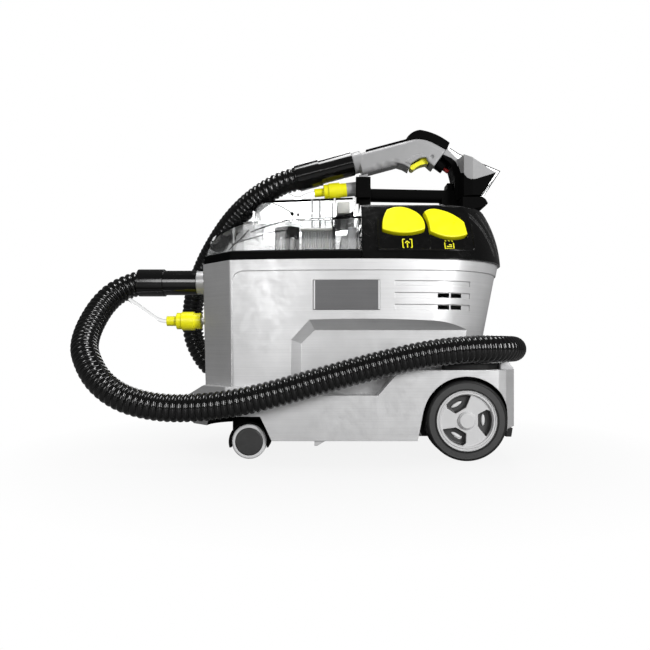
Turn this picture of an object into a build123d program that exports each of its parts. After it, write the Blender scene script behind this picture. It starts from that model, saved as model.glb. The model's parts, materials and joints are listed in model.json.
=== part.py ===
from build123d import *
import os
from math import cos, radians, sin, tan

# Compact spray-extraction carpet cleaner. Millimetres, +Z up, -X is the front,
# the origin lies on the floor under the middle of the machine.

os.makedirs("parts", exist_ok=True)

# Overall
HALF_TRACK = 165.0  # outer face of the rear wheels
SIDES = {"left": -1, "right": 1}

# Upper housing: plan sizes at its foot and at its rim
FOOT_LEVEL, RIM_LEVEL = 60.0, 287.0
FOOT_FRONT, FOOT_REAR, FOOT_HALF = -211.0, 199.0, 157.0
RIM_FRONT, RIM_REAR, RIM_HALF = -217.0, 245.0, 152.0
BOW_AT_FRONT, BOW_AT_REAR = 14.5, 17.0  # how far the bowed sides fall back at their ends
BOW_MIDDLE = 20.0
FRONT_FACET = 48.0
FACET_SOFT = 5.0
TAIL_RADIUS = 112.0
PANEL_FRONT, PANEL_TOP, PANEL_CORNER, PANEL_DEPTH = -165.0, 271.0, 14.0, 1.5
WALL = 5.0

# Base with its ledges
BASE_BOTTOM, BASE_SHELF, BASE_LEDGE = 28.0, 92.0, 128.0
BASE_FRONT, BASE_REAR, BASE_HALF = -238.0, 252.0, 160.0
BASE_CROWN = 265.0
BAY_TOP, BAY_FRONT, BAY_FLOOR = 201.0, -80.0, 127.0  # side bay that the hose lies in
BAY_BAND = 15.0

# Rear wheels
WHEEL_X, WHEEL_R, WHEEL_WIDTH = 170.0, 57.0, 36.0
RIM_R, RIM_RING_R, HUB_CAP_R, AXLE_R = 43.0, 36.5, 11.0, 6.0
ARCH_R, ARCH_INNER, ARCH_FOOT = 62.0, 112.0, (101.0, 225.0)
RUNNING = 0.05  # radial clearance of a shaft in its bore

# Front casters
SWIVEL_X, SWIVEL_Y, CASTER_TRAIL = -153.0, 128.0, 14.0
CASTER_R, CASTER_CAP_R, HOOD_R, CASTER_HALF = 25.0, 20.0, 29.0, 20.0
POCKET_FOOT_R, POCKET_TOP_R, CASTER_POCKET_TOP, STEM_R, STEM_TOP = 67.3, 44.5, 62.0, 6.0, 77.0

# Lid over the tanks
LID_REAR, LID_TOP, LID_WALL = 22.0, 349.0, 3.0
FRAME_TOP, GASKET_TOP = 299.0, 301.5
DUCT_FRONT, DUCT_HALF, DUCT_TOP, DUCT_SOFT = -145.0, 62.0, 397.0, 20.0

# Motor cover, handle and hand nozzle park
COVER_FRONT, COVER_TOP = 24.0, 376.0
COVER_WALL = 4.0
BAR_LOW, BAR_HIGH, BAR_HALF = 405.5, 424.0, 13.0
HOLDER_FRONT, HOLDER_REAR, HOLDER_TOP, HOLDER_HALF = 21.0, 46.0, 441.0, 22.0
SLOT_HALF, SLOT_REAR, SLOT_FLOOR = 12.5, 42.6, 413.0

# Hose, its cuffs and the spray line
HOSE_R, HOSE_WALL = 19.5, 2.5
STUB_Y, STUB_Z, STUB_HOLE_R = -40.0, 264.4, 16.2
CUFF_THIN_R, CUFF_THICK_R, CUFF_BORE_R = 19.7, 21.8, 15.6
SPRAY_Y, SPRAY_Z, SPRAY_HOLE_R = -60.0, 202.0, 5.2
GLAND_Y, GLAND_Z, GLAND_R, GLAND_BORE_R = 60.0, 250.0, 9.0, 4.2  # gland of the mains cord
LINE_R = 3.0
NOZZLE_TILT = 15.0  # rise of the nozzle cuff, degrees
CUFF_MIDDLE = (-34.2, 0.0, 455.3)
COUPLING_TILT = 6.0
COUPLING_TAIL = (-47.6, 0.0, 419.5)

UPWARD = (Align.CENTER, Align.CENTER, Align.MIN)
DOWNWARD = (Align.CENTER, Align.CENTER, Align.MAX)
ACROSS = (90, 0, 0)  # turn of a cylinder that lies along Y
LENGTHWISE = (0, 90, 0)  # turn of a cylinder that lies along X


def save(piece, name):
    """Label a finished piece and write it to its own file."""
    piece.part.label = name
    export_step(piece.part, f"parts/{name}.step")


def housing_plan(level, front, rear, half, shrink=0.0):
    """Plan of the upper housing: 45 degree front corners, bowed sides, round tail."""
    front, rear, half = front + shrink, rear - shrink, half - shrink
    nose, tail = half - BOW_AT_FRONT, half - BOW_AT_REAR
    with BuildSketch(Plane.XY.offset(level)) as plan:
        with BuildLine():
            ThreePointArc((front + FRONT_FACET, -nose), (BOW_MIDDLE, -half), (rear, -tail))
            Line((rear, -tail), (rear, tail))
            ThreePointArc((rear, tail), (BOW_MIDDLE, half), (front + FRONT_FACET, nose))
            Polyline(
                (front + FRONT_FACET, nose),
                (front, nose - FRONT_FACET),
                (front, FRONT_FACET - nose),
                (front + FRONT_FACET, -nose),
            )
        make_face()
        fillet(plan.vertices().sort_by(Axis.X)[-2:], TAIL_RADIUS)
        fillet(plan.vertices().sort_by(Axis.X)[:4], FACET_SOFT)
    return plan.sketch


def housing_block(shrink):
    """The tapered upper housing as a full solid, shrunk on all sides."""
    with BuildPart() as block:
        loft(
            [
                housing_plan(FOOT_LEVEL, FOOT_FRONT, FOOT_REAR, FOOT_HALF, shrink),
                housing_plan(RIM_LEVEL, RIM_FRONT, RIM_REAR, RIM_HALF, shrink),
            ]
        )
    return block.part


def side_prism(points, low, high):
    """An outline seen from the side, as a slab between two distances from the middle, on both sides."""
    with BuildPart() as slab:
        with BuildSketch(Plane.XZ.offset(low)):
            with BuildLine():
                Polyline(*points, close=True)
            make_face()
        extrude(amount=high - low)
        mirror(about=Plane.XZ)
    return slab.part


def side_box(x_low, x_high, z_low, z_high, y_low, y_high):
    """A box on both sides, between two distances from the middle."""
    corners = ((x_low, z_low), (x_high, z_low), (x_high, z_high), (x_low, z_high))
    return side_prism(corners, y_low, y_high)


# Body shell

FAR_OUT, DEEP_IN = 200.0, 60.0  # reach of the cutters on each side, measured from the middle
GROOVE_DEPTH = 1.5
panel_block = housing_block(PANEL_DEPTH)
groove_block = housing_block(PANEL_DEPTH + GROOVE_DEPTH)
BADGE_SPAN, BADGE_RISE = (-47.0, 48.5), (214.0, 257.0)

with BuildPart() as panel_skin:
    with BuildSketch(Plane.XZ):
        with BuildLine():
            Polyline(
                (PANEL_FRONT, 0),
                (PANEL_FRONT, PANEL_TOP - PANEL_CORNER),
                (PANEL_FRONT + PANEL_CORNER * 0.3, PANEL_TOP - PANEL_CORNER * 0.3),
                (PANEL_FRONT + PANEL_CORNER, PANEL_TOP),
                (BASE_CROWN + FAR_OUT, PANEL_TOP),
                (BASE_CROWN + FAR_OUT, 0),
                close=True,
            )
        make_face()
    extrude(amount=FAR_OUT, both=True)
    add(panel_block, mode=Mode.SUBTRACT)

VENT_SPAN = (70.0, 182.0)
VENT_ROWS = ((249.0, 256.0), (231.0, 239.0), (214.0, 222.0))
VENT_SLOTS = ((132.0, 149.0), (151.5, 168.0))
with BuildPart() as vent_grooves:
    for low, high in VENT_ROWS:
        add(side_box(*VENT_SPAN, low, high, DEEP_IN, FAR_OUT))
    add(groove_block, mode=Mode.SUBTRACT)

with BuildPart() as badge_place:
    with BuildSketch(Plane.XZ.offset(DEEP_IN)):
        with BuildLine():
            Polyline(
                (BADGE_SPAN[0], BADGE_RISE[0]),
                (BADGE_SPAN[1], BADGE_RISE[0]),
                (BADGE_SPAN[1], BADGE_RISE[1]),
                (BADGE_SPAN[0], BADGE_RISE[1]),
                close=True,
            )
        make_face()
    extrude(amount=FAR_OUT)
    add(groove_block, mode=Mode.SUBTRACT)

BAY_FOOT, BAY_END = 40.0, 330.0
BAY_CORNER, BAY_INNER_CORNER = (-53.0, 172.0), (-45.0, 166.0)  # ends of the corner's slant
with BuildPart() as hose_bay:
    outer = (
        (BAY_FRONT, BAY_FOOT),
        (BAY_FRONT, BAY_CORNER[1]),
        (BAY_CORNER[0], BAY_TOP),
        (BAY_END, BAY_TOP),
        (BAY_END, BAY_FOOT),
    )
    inner = (
        (BAY_FRONT + BAY_BAND, BAY_FOOT),
        (BAY_FRONT + BAY_BAND, BAY_INNER_CORNER[1]),
        (BAY_INNER_CORNER[0], BAY_TOP - BAY_BAND),
        (BAY_END, BAY_TOP - BAY_BAND),
        (BAY_END, BAY_FOOT),
    )
    with BuildSketch(Plane.XZ.offset(BAY_FLOOR)):
        with BuildLine():
            Polyline(*inner, close=True)
        make_face()
    with BuildSketch(Plane.XZ.offset(RIM_HALF)):
        with BuildLine():
            Polyline(*outer, close=True)
        make_face()
    loft(ruled=True)
    add(side_prism(outer, RIM_HALF, FAR_OUT))
    mirror(about=Plane.XZ)

BASE_SOFT, FRONT_SILL, REAR_SILL, FRONT_LIP = 4.0, 46.0, 43.5, 104.0
# Half plan of the base from its tail to its nose, and its outline from the side
BASE_PLAN = ((BASE_REAR, 112), (228, 153), (215, BASE_HALF), (-120, BASE_HALF), (-172, 157), (BASE_FRONT, 92))
BASE_SIDE = (
    (BASE_FRONT - 2, 56),
    (BASE_FRONT + 10, FRONT_SILL),
    (-165, FRONT_SILL),
    (-150, BASE_BOTTOM),
    (222, BASE_BOTTOM),
    (232, REAR_SILL),
    (BASE_CROWN + 2, REAR_SILL),
    (BASE_CROWN + 2, BASE_LEDGE - 5),
    (BASE_CROWN - 5, BASE_LEDGE),
    (76, BASE_LEDGE),
    (45, BASE_SHELF),
    (-60, BASE_SHELF),
    (-75, FRONT_LIP),
    (FOOT_FRONT, FRONT_LIP),
    (BASE_FRONT - 2, 88),
)
with BuildPart() as base:
    with BuildSketch(Plane.XY.offset(BASE_BOTTOM)):
        with BuildLine():
            Polyline(*BASE_PLAN, *[(x, -y) for x, y in reversed(BASE_PLAN)])
            ThreePointArc((BASE_REAR, -BASE_PLAN[0][1]), (BASE_CROWN, 0), BASE_PLAN[0])
        make_face()
    extrude(amount=BASE_LEDGE - BASE_BOTTOM)
    fillet(base.edges().filter_by(Axis.Z), BASE_SOFT)
    with BuildSketch(Plane.XZ):
        with BuildLine():
            Polyline(*BASE_SIDE, close=True)
        make_face()
    extrude(amount=FAR_OUT, both=True, mode=Mode.INTERSECT)

with BuildPart() as wheel_arches:
    with BuildSketch(Plane.XZ.offset(ARCH_INNER)):
        with Locations((WHEEL_X, WHEEL_R)):
            Circle(ARCH_R)
        with BuildLine():
            Polyline(
                (WHEEL_X - ARCH_R + 1.5, WHEEL_R + 15),
                (ARCH_FOOT[0], BASE_BOTTOM),
                (ARCH_FOOT[0], 0),
                (ARCH_FOOT[1], 0),
                (WHEEL_X + ARCH_R, WHEEL_R),
                (WHEEL_X, WHEEL_R),
                close=True,
            )
        make_face()
    extrude(amount=FAR_OUT - ARCH_INNER)
    mirror(about=Plane.XZ)

# Rooms of the hollow: low, high, front, rear, half width, facets of the front and rear corners
ROOM_CORNER, WIDE_ROOM = 10.0, 206.0
ROOMS = (
    (34.0, 120.0, -90.0, 190.0, 104.0, 20.0, 20.0),
    (34.0, 86.0, -93.0, 93.0, 153.0, 20.0, 20.0),
    (50.0, 120.0, 177.0, 247.0, 102.0, 20.0, 20.0),
    (52.0, 92.0, -218.0, -78.0, 72.0, 20.0, 20.0),
    (84.0, 120.0, -204.0, 90.0, 104.0, 36.0, 20.0),
    (118.0, 208.0, -204.0, 198.0, 120.0, 36.0, 60.0),
)

PLATE_LONG, PLATE_WIDE, PLATE_THICK = 171.0, 191.0, 3.0  # base plate
TAB = ((-45, BASE_BOTTOM + 1), (-45, 21), (-41, 21), (-28, BASE_BOTTOM + 1))

with BuildPart() as body_shell:
    add(housing_block(0))
    add(panel_skin.part, mode=Mode.SUBTRACT)
    add(vent_grooves.part, mode=Mode.SUBTRACT)
    add(badge_place.part, mode=Mode.SUBTRACT)
    add(hose_bay.part, mode=Mode.SUBTRACT)
    add(base.part)
    add(wheel_arches.part, mode=Mode.SUBTRACT)
    # Caster pockets and the bores of their stems
    for side in SIDES.values():
        with Locations((SWIVEL_X, side * SWIVEL_Y, 0)):
            Cone(POCKET_FOOT_R, POCKET_TOP_R, CASTER_POCKET_TOP, align=UPWARD, mode=Mode.SUBTRACT)
            Cylinder(STEM_R + RUNNING, STEM_TOP + 1, align=UPWARD, mode=Mode.SUBTRACT)
    # Hollow inside: tank room below, machine room behind, wide room under the rim
    for low, high, front, rear, half, nose, tail in ROOMS:
        with BuildSketch(Plane.XY.offset(low)) as room:
            with BuildLine():
                Polyline(
                    (front, half - nose),
                    (front + nose, half),
                    (rear - tail, half),
                    (rear, half - tail),
                    (rear, tail - half),
                    (rear - tail, -half),
                    (front + nose, -half),
                    (front, nose - half),
                    close=True,
                )
            make_face()
            fillet(room.vertices(), ROOM_CORNER)
        extrude(amount=high - low, mode=Mode.SUBTRACT)
    loft(
        [
            housing_plan(WIDE_ROOM, RIM_FRONT + 2, 229, RIM_HALF + 1.5, WALL),
            housing_plan(RIM_LEVEL + 1, RIM_FRONT, RIM_REAR, RIM_HALF, WALL),
        ],
        mode=Mode.SUBTRACT,
    )
    # Cooling slots, seat of the base plate, axle bore and the two front passages
    for low, high in VENT_ROWS[1:]:
        for span in VENT_SLOTS:
            add(side_box(*span, low + 1, high - 1, DEEP_IN, FAR_OUT), mode=Mode.SUBTRACT)
    with Locations((0, 0, BASE_BOTTOM)):
        Box(PLATE_LONG + 1, PLATE_WIDE + 1, 2 * PLATE_THICK, mode=Mode.SUBTRACT)
    with Locations((WHEEL_X, 0, WHEEL_R)):
        Cylinder(AXLE_R, 2 * ARCH_INNER + 4, rotation=ACROSS, mode=Mode.SUBTRACT)
    with Locations((RIM_FRONT, STUB_Y, STUB_Z)):
        Cylinder(STUB_HOLE_R, 40, rotation=LENGTHWISE, mode=Mode.SUBTRACT)
    with Locations((RIM_FRONT, SPRAY_Y, SPRAY_Z)):
        Cylinder(SPRAY_HOLE_R, 30, rotation=LENGTHWISE, mode=Mode.SUBTRACT)
    with Locations((RIM_REAR, GLAND_Y, GLAND_Z)):
        Cylinder(GLAND_R, 70, rotation=LENGTHWISE, mode=Mode.SUBTRACT)
    # Small tab under the base on each side
    add(side_prism(TAB, BASE_HALF - 20, BASE_HALF - 2))
save(body_shell, "body_shell")

with BuildPart() as badge_plate:
    add(badge_place.part)
    add(housing_block(PANEL_DEPTH - 0.8), mode=Mode.INTERSECT)
save(badge_plate, "badge_plate")

SCREW_PLACES = [(x, y, BASE_BOTTOM) for x in (-72, 0, 72) for y in (-84, 84)]
SCREW_R, SCREW_HEAD_R, SCREW_HEAD, SCREW_GAP = 2.0, 4.0, 1.5, 0.2
PLATE_SLOTS, PLATE_PITCH, PLATE_SLOT = 9, 12.0, (60.0, 4.0)
with BuildPart() as base_plate:
    with BuildSketch(Plane.XY.offset(BASE_BOTTOM)):
        RectangleRounded(PLATE_LONG, PLATE_WIDE, 6)
    extrude(amount=PLATE_THICK)
    with Locations(*SCREW_PLACES):
        Cylinder(SCREW_HEAD_R + SCREW_GAP, SCREW_HEAD, align=UPWARD, mode=Mode.SUBTRACT)
        Cylinder(SCREW_R + SCREW_GAP, PLATE_THICK, align=UPWARD, mode=Mode.SUBTRACT)
    # Cooling slots of the pump room
    with GridLocations(0, PLATE_PITCH, 1, PLATE_SLOTS):
        Box(*PLATE_SLOT, 4 * BASE_BOTTOM, mode=Mode.SUBTRACT)
save(base_plate, "base_plate")

with BuildPart() as housing_screws:
    with Locations(*SCREW_PLACES):
        Cylinder(SCREW_HEAD_R, SCREW_HEAD, align=UPWARD)
        Cylinder(SCREW_R, PLATE_THICK, align=UPWARD)
save(housing_screws, "housing_screws")

REAR_FOOT = ((232.5, REAR_SILL), (232.5, 31), (240, 31), (242, REAR_SILL))
with BuildPart() as rear_feet:
    add(side_prism(REAR_FOOT, 116, 138))
save(rear_feet, "rear_feet")

# Rear wheels on one fixed axle

AXLE_HALF, CLIP_R, CLIP_THICK = 158.0, 9.5, 1.5
HUB_R = 13.0
WHEEL_INNER = HALF_TRACK - WHEEL_WIDTH
WEB_FACE, RIM_FACE = HALF_TRACK - 5, HALF_TRACK - 2  # outer faces of the spokes and of the rim's ring
CAP_BORE_R, TYRE_SOFT, TYRE_FLAT = 10.4, 4.0, (2.2, 10.5)
SPOKES = 3
POCKET_SIDES = ((33.5, 13.6), (28.5, 15.5), (15.9, 8.9), (15.9, -8.5), (27.5, -23.4))
POCKET_OUTER, POCKET_DEPTH, POCKET_TAPER, POCKET_SOFT = (36.2, -3.0), 9.0, 12.0, 1.2
POCKET_WEB = 2.5  # thickness left behind a pocket
SLOT_AT, SLOT_LONG, SLOT_WIDE = 25.2, 17.5, 5.8
RING_LINE_R, RING_LINE = 39.6, 0.8

with BuildPart() as rear_axle:
    with Locations((WHEEL_X, 0, WHEEL_R)):
        Cylinder(AXLE_R, 2 * AXLE_HALF, rotation=ACROSS)
save(rear_axle, "rear_axle")

with BuildPart() as axle_clips:
    for side in SIDES.values():
        with BuildSketch(Plane.XZ.offset(-side * (AXLE_HALF - 3))):
            with Locations((WHEEL_X, WHEEL_R)):
                Circle(CLIP_R)
                Circle(AXLE_R, mode=Mode.SUBTRACT)
        extrude(amount=-side * CLIP_THICK)
save(axle_clips, "axle_clips")


def wheel_plane(side, distance):
    """Plane across the axle at a distance from the middle, facing out on that side."""
    return Plane(origin=(WHEEL_X, side * distance, WHEEL_R), x_dir=(1, 0, 0), z_dir=(0, side, 0))


def ring(plane, outer, bore, depth):
    """A plain ring or disc extruded along the plane's own axis."""
    with BuildPart() as made:
        with BuildSketch(plane):
            Circle(outer)
            if bore:
                Circle(bore, mode=Mode.SUBTRACT)
        extrude(amount=depth)
    return made.part


def pocket_outline():
    """Outline of a pocket between two spokes, at the right of the hub."""
    with BuildSketch() as outline:
        with BuildLine():
            Polyline(*POCKET_SIDES)
            ThreePointArc(POCKET_SIDES[-1], POCKET_OUTER, POCKET_SIDES[0])
        make_face()
        fillet(outline.vertices(), POCKET_SOFT)
    return outline.sketch


for name, side in SIDES.items():
    inner = wheel_plane(side, WHEEL_INNER)

    with BuildPart() as tyre:
        add(ring(inner, WHEEL_R, RIM_R, WHEEL_WIDTH))
        shoulders = tyre.edges().filter_by(GeomType.CIRCLE).sort_by(SortBy.RADIUS)[-2:]
        fillet(shoulders, TYRE_SOFT)
        with BuildSketch(wheel_plane(side, HALF_TRACK - 1)):
            Circle(RIM_R + TYRE_FLAT[1])
            Circle(RIM_R + TYRE_FLAT[0], mode=Mode.SUBTRACT)
        extrude(amount=2, mode=Mode.SUBTRACT)
    save(tyre, f"rear_tyre_{name}")

    with BuildPart() as rim:
        add(ring(inner, RIM_R, AXLE_R + RUNNING, RIM_FACE - WHEEL_INNER))
        # Dished outer face, with a raised hub and a bright ring left standing
        with BuildSketch(wheel_plane(side, WEB_FACE)):
            Circle(RIM_RING_R)
            Circle(HUB_R, mode=Mode.SUBTRACT)
        extrude(amount=6, taper=-20, mode=Mode.SUBTRACT)
        # Fine line round the bright ring
        with BuildSketch(wheel_plane(side, RIM_FACE - RING_LINE)):
            Circle(RING_LINE_R + RING_LINE)
            Circle(RING_LINE_R, mode=Mode.SUBTRACT)
        extrude(amount=2 * RING_LINE, mode=Mode.SUBTRACT)
        # Three pockets between the spokes, each with a slot through its web
        for turn in range(SPOKES):
            angle = 360 / SPOKES * turn
            with BuildSketch(wheel_plane(side, WEB_FACE)):
                add(pocket_outline(), rotation=angle)
            extrude(amount=-POCKET_DEPTH, taper=POCKET_TAPER, mode=Mode.SUBTRACT)
            with BuildSketch(wheel_plane(side, WHEEL_INNER - 1)):
                with PolarLocations(SLOT_AT, 1, angle):
                    SlotOverall(SLOT_LONG, SLOT_WIDE, rotation=90)
            extrude(amount=WHEEL_WIDTH, mode=Mode.SUBTRACT)
        # Hollow back, and the counterbore that clears the clip
        with BuildSketch(inner):
            Circle(RIM_R - 4)
            Circle(HUB_R + 2, mode=Mode.SUBTRACT)
        extrude(amount=WEB_FACE - POCKET_DEPTH - POCKET_WEB - WHEEL_INNER, mode=Mode.SUBTRACT)
        with BuildSketch(wheel_plane(side, AXLE_HALF - 5)):
            Circle(CAP_BORE_R)
        extrude(amount=20, mode=Mode.SUBTRACT)
    save(rim, f"rear_rim_{name}")

    with BuildPart() as hub_cap:
        add(ring(wheel_plane(side, WEB_FACE), CAP_BORE_R - 2 * RUNNING, 0, RIM_FACE - WEB_FACE))
        add(ring(wheel_plane(side, RIM_FACE), HUB_CAP_R, 0, HALF_TRACK - RIM_FACE))
        fillet(hub_cap.faces().sort_by(Axis.Y)[0 if side < 0 else -1].edges(), 1.5)
    save(hub_cap, f"hub_cap_{name}")

# Front casters: a swivelling hood with two wheels

WHEEL_FROM, WHEEL_TO = 4.0, 18.5  # one caster wheel, measured from the swivel's plane
CASTER_AXLE_R, HOOD_GAP, CAP_SEAT, CAP_THICK, BOSS_R, WEB_HALF = 4.0, 1.5, 2.2, 3.4, 12.0, 3.0
HOOD_CUT = CASTER_R - 8  # level that the hood ends at
CASTER_X = SWIVEL_X + CASTER_TRAIL

for name, side in SIDES.items():
    centre = (CASTER_X, side * SWIVEL_Y, CASTER_R)
    across = Plane(origin=centre, x_dir=(1, 0, 0), z_dir=(0, 1, 0))

    with BuildPart() as fork:
        with BuildSketch(across.offset(-CASTER_HALF)):
            Circle(HOOD_R)
            Circle(CASTER_R + HOOD_GAP, mode=Mode.SUBTRACT)
        extrude(amount=2 * CASTER_HALF)
        # Web between the wheels
        with BuildSketch(across.offset(-WEB_HALF)):
            Circle(HOOD_R - 1)
        extrude(amount=2 * WEB_HALF)
        # Only the upper part stays, cut level a little above the axle
        with Locations((CASTER_X, side * SWIVEL_Y, HOOD_CUT)):
            Box(4 * HOOD_R, 4 * CASTER_HALF, 2 * HOOD_R, align=DOWNWARD, mode=Mode.SUBTRACT)
        with Locations((SWIVEL_X, side * SWIVEL_Y, CASTER_R + HOOD_R - 14)):
            Cylinder(BOSS_R, 21, align=UPWARD)
        with Locations((SWIVEL_X, side * SWIVEL_Y, CASTER_R + HOOD_R)):
            Cylinder(STEM_R, STEM_TOP - CASTER_R - HOOD_R, align=UPWARD)
        # Room for the wheels under the stem boss
        for face in (1, -1):
            with BuildSketch(across.offset(face * (WEB_HALF + 0.2))):
                Circle(CASTER_R + HOOD_GAP)
            extrude(amount=face * HOOD_R, mode=Mode.SUBTRACT)
        with Locations(centre):
            Cylinder(CASTER_AXLE_R, CASTER_HALF, rotation=ACROSS, mode=Mode.SUBTRACT)
    save(fork, f"caster_fork_{name}")

    with BuildPart() as caster_axle:
        with Locations(centre):
            Cylinder(CASTER_AXLE_R, 2 * WHEEL_TO - 6, rotation=ACROSS)
    save(caster_axle, f"caster_axle_{name}")

    with BuildPart() as caster_wheels:
        for face in (1, -1):
            with BuildSketch(across.offset(face * WHEEL_FROM)):
                Circle(CASTER_R)
                Circle(CASTER_AXLE_R + RUNNING, mode=Mode.SUBTRACT)
            extrude(amount=face * (WHEEL_TO - WHEEL_FROM))
        fillet(caster_wheels.edges().filter_by(GeomType.CIRCLE).sort_by(SortBy.RADIUS)[-4:], 3)
        for face in (1, -1):
            with BuildSketch(across.offset(face * (WHEEL_TO - CAP_SEAT))):
                Circle(CASTER_CAP_R)
            extrude(amount=face * CAP_THICK, mode=Mode.SUBTRACT)
    save(caster_wheels, f"caster_wheels_{name}")

    with BuildPart() as caster_caps:
        for face in (1, -1):
            with BuildSketch(across.offset(face * (WHEEL_TO - CAP_SEAT))):
                Circle(CASTER_CAP_R)
            extrude(amount=face * CAP_THICK)
        fillet(caster_caps.edges().sort_by(Axis.Y)[0], 2)
        fillet(caster_caps.edges().sort_by(Axis.Y)[-1], 2)
    save(caster_caps, f"caster_caps_{name}")

# Tanks and filter under the lid

FRESH_X, FRESH_FOOT, FRESH_HIGH = 27.0, 34.0, 94.0
with BuildPart() as fresh_tank:
    with BuildSketch(Plane.XY.offset(FRESH_FOOT)):
        with Locations((FRESH_X, 0)):
            RectangleRounded(224, 196, 12)
    extrude(amount=FRESH_HIGH)
    with BuildSketch(Plane.XY.offset(FRESH_FOOT + LID_WALL)):
        with Locations((FRESH_X, 0)):
            RectangleRounded(218, 190, 9)
    extrude(amount=FRESH_HIGH - 2 * LID_WALL, mode=Mode.SUBTRACT)
    with Locations((-50, 0, FRESH_FOOT + FRESH_HIGH)):
        Cylinder(22, 20, mode=Mode.SUBTRACT)
save(fresh_tank, "fresh_tank")

TANK_MIDDLE, TANK_LENGTH, TANK_WIDTH = -94.0, 212.0, 232.0
TANK_FOOT, TANK_TOP = 132.0, 286.0
with BuildPart() as dirty_tank:
    with BuildSketch(Plane.XY.offset(TANK_FOOT)):
        with Locations((TANK_MIDDLE, 0)):
            RectangleRounded(TANK_LENGTH - 14, TANK_WIDTH - 14, 56)
    with BuildSketch(Plane.XY.offset(TANK_TOP)):
        with Locations((TANK_MIDDLE, 0)):
            RectangleRounded(TANK_LENGTH, TANK_WIDTH, 60)
    loft()
    with BuildSketch(Plane.XY.offset(TANK_FOOT + 3)):
        with Locations((TANK_MIDDLE, 0)):
            RectangleRounded(TANK_LENGTH - 20, TANK_WIDTH - 20, 53)
    with BuildSketch(Plane.XY.offset(TANK_TOP)):
        with Locations((TANK_MIDDLE, 0)):
            RectangleRounded(TANK_LENGTH - 6, TANK_WIDTH - 6, 57)
    loft(mode=Mode.SUBTRACT)
    # Opening for the air and water that come in through the stub
    with Locations((TANK_MIDDLE - TANK_LENGTH / 2, STUB_Y, STUB_Z)):
        Cylinder(16.5, 20, rotation=LENGTHWISE, mode=Mode.SUBTRACT)
save(dirty_tank, "dirty_tank")

BAIL_Y, BAIL_LOW, BAIL_HIGH, BAIL_X, BAIL_R = 96.0, 262.0, 280.0, -20.0, 3.0
PIVOT_Y = TANK_WIDTH / 2 - 2
with BuildPart() as tank_bail:
    with BuildLine() as rail:
        FilletPolyline(
            (TANK_MIDDLE, -PIVOT_Y, BAIL_LOW),
            (TANK_MIDDLE, -BAIL_Y, BAIL_LOW),
            (BAIL_X, -BAIL_Y, BAIL_HIGH),
            (BAIL_X, BAIL_Y, BAIL_HIGH),
            (TANK_MIDDLE, BAIL_Y, BAIL_LOW),
            (TANK_MIDDLE, PIVOT_Y, BAIL_LOW),
            radius=9,
        )
    with BuildSketch(Plane(rail.line @ 0, z_dir=rail.line % 0)):
        Circle(BAIL_R)
    sweep(path=rail.line)
save(tank_bail, "tank_bail")

FILTER_X, FILTER_Y, FILTER_FOOT = -140.0, 45.0, 247.0
with BuildPart() as lint_filter:
    with Locations((FILTER_X, FILTER_Y, FILTER_FOOT)):
        Box(70, 90, TANK_TOP - FILTER_FOOT, align=UPWARD)
    # Strip that hangs on both rims of the tank
    with Locations((FILTER_X, 0, TANK_TOP)):
        Box(50, TANK_WIDTH, RIM_LEVEL - TANK_TOP, align=UPWARD)
    with Locations((FILTER_X, FILTER_Y, FILTER_FOOT + LID_WALL)):
        Box(64, 84, TANK_TOP - FILTER_FOOT, align=UPWARD, mode=Mode.SUBTRACT)
    with Locations((FILTER_X, FILTER_Y, FILTER_FOOT)):
        with GridLocations(9, 9, 7, 9):
            Box(5, 5, 20, mode=Mode.SUBTRACT)
save(lint_filter, "lint_filter")

# Lid: black frame, seal and clear dome


def lid_plan(level, shrink, rear=LID_REAR):
    """Plan of the lid, which follows the housing's rim and ends flat at the motor cover."""
    front, half = RIM_FRONT + 1.5 + shrink, RIM_HALF - 2 - shrink
    nose = half - BOW_AT_FRONT
    with BuildSketch(Plane.XY.offset(level)) as plan:
        with BuildLine():
            ThreePointArc((front + FRONT_FACET, -nose), (-70, -half + 4.5), (rear, -half))
            Line((rear, -half), (rear, half))
            ThreePointArc((rear, half), (-70, half - 4.5), (front + FRONT_FACET, nose))
            Polyline(
                (front + FRONT_FACET, nose),
                (front, nose - FRONT_FACET),
                (front, FRONT_FACET - nose),
                (front + FRONT_FACET, -nose),
            )
        make_face()
        fillet(plan.vertices().sort_by(Axis.X)[:4], FACET_SOFT)
    return plan.sketch


with BuildPart() as lid_frame:
    extrude(lid_plan(RIM_LEVEL, 0), amount=FRAME_TOP - RIM_LEVEL)
    extrude(lid_plan(RIM_LEVEL, 14, LID_REAR - 10), amount=FRAME_TOP - RIM_LEVEL, mode=Mode.SUBTRACT)
save(lid_frame, "lid_frame")

with BuildPart() as lid_gasket:
    extrude(lid_plan(FRAME_TOP, 3.0, LID_REAR - 1), amount=GASKET_TOP - FRAME_TOP)
    extrude(lid_plan(FRAME_TOP, 10, LID_REAR - 8), amount=GASKET_TOP - FRAME_TOP, mode=Mode.SUBTRACT)
save(lid_gasket, "lid_gasket")


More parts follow.
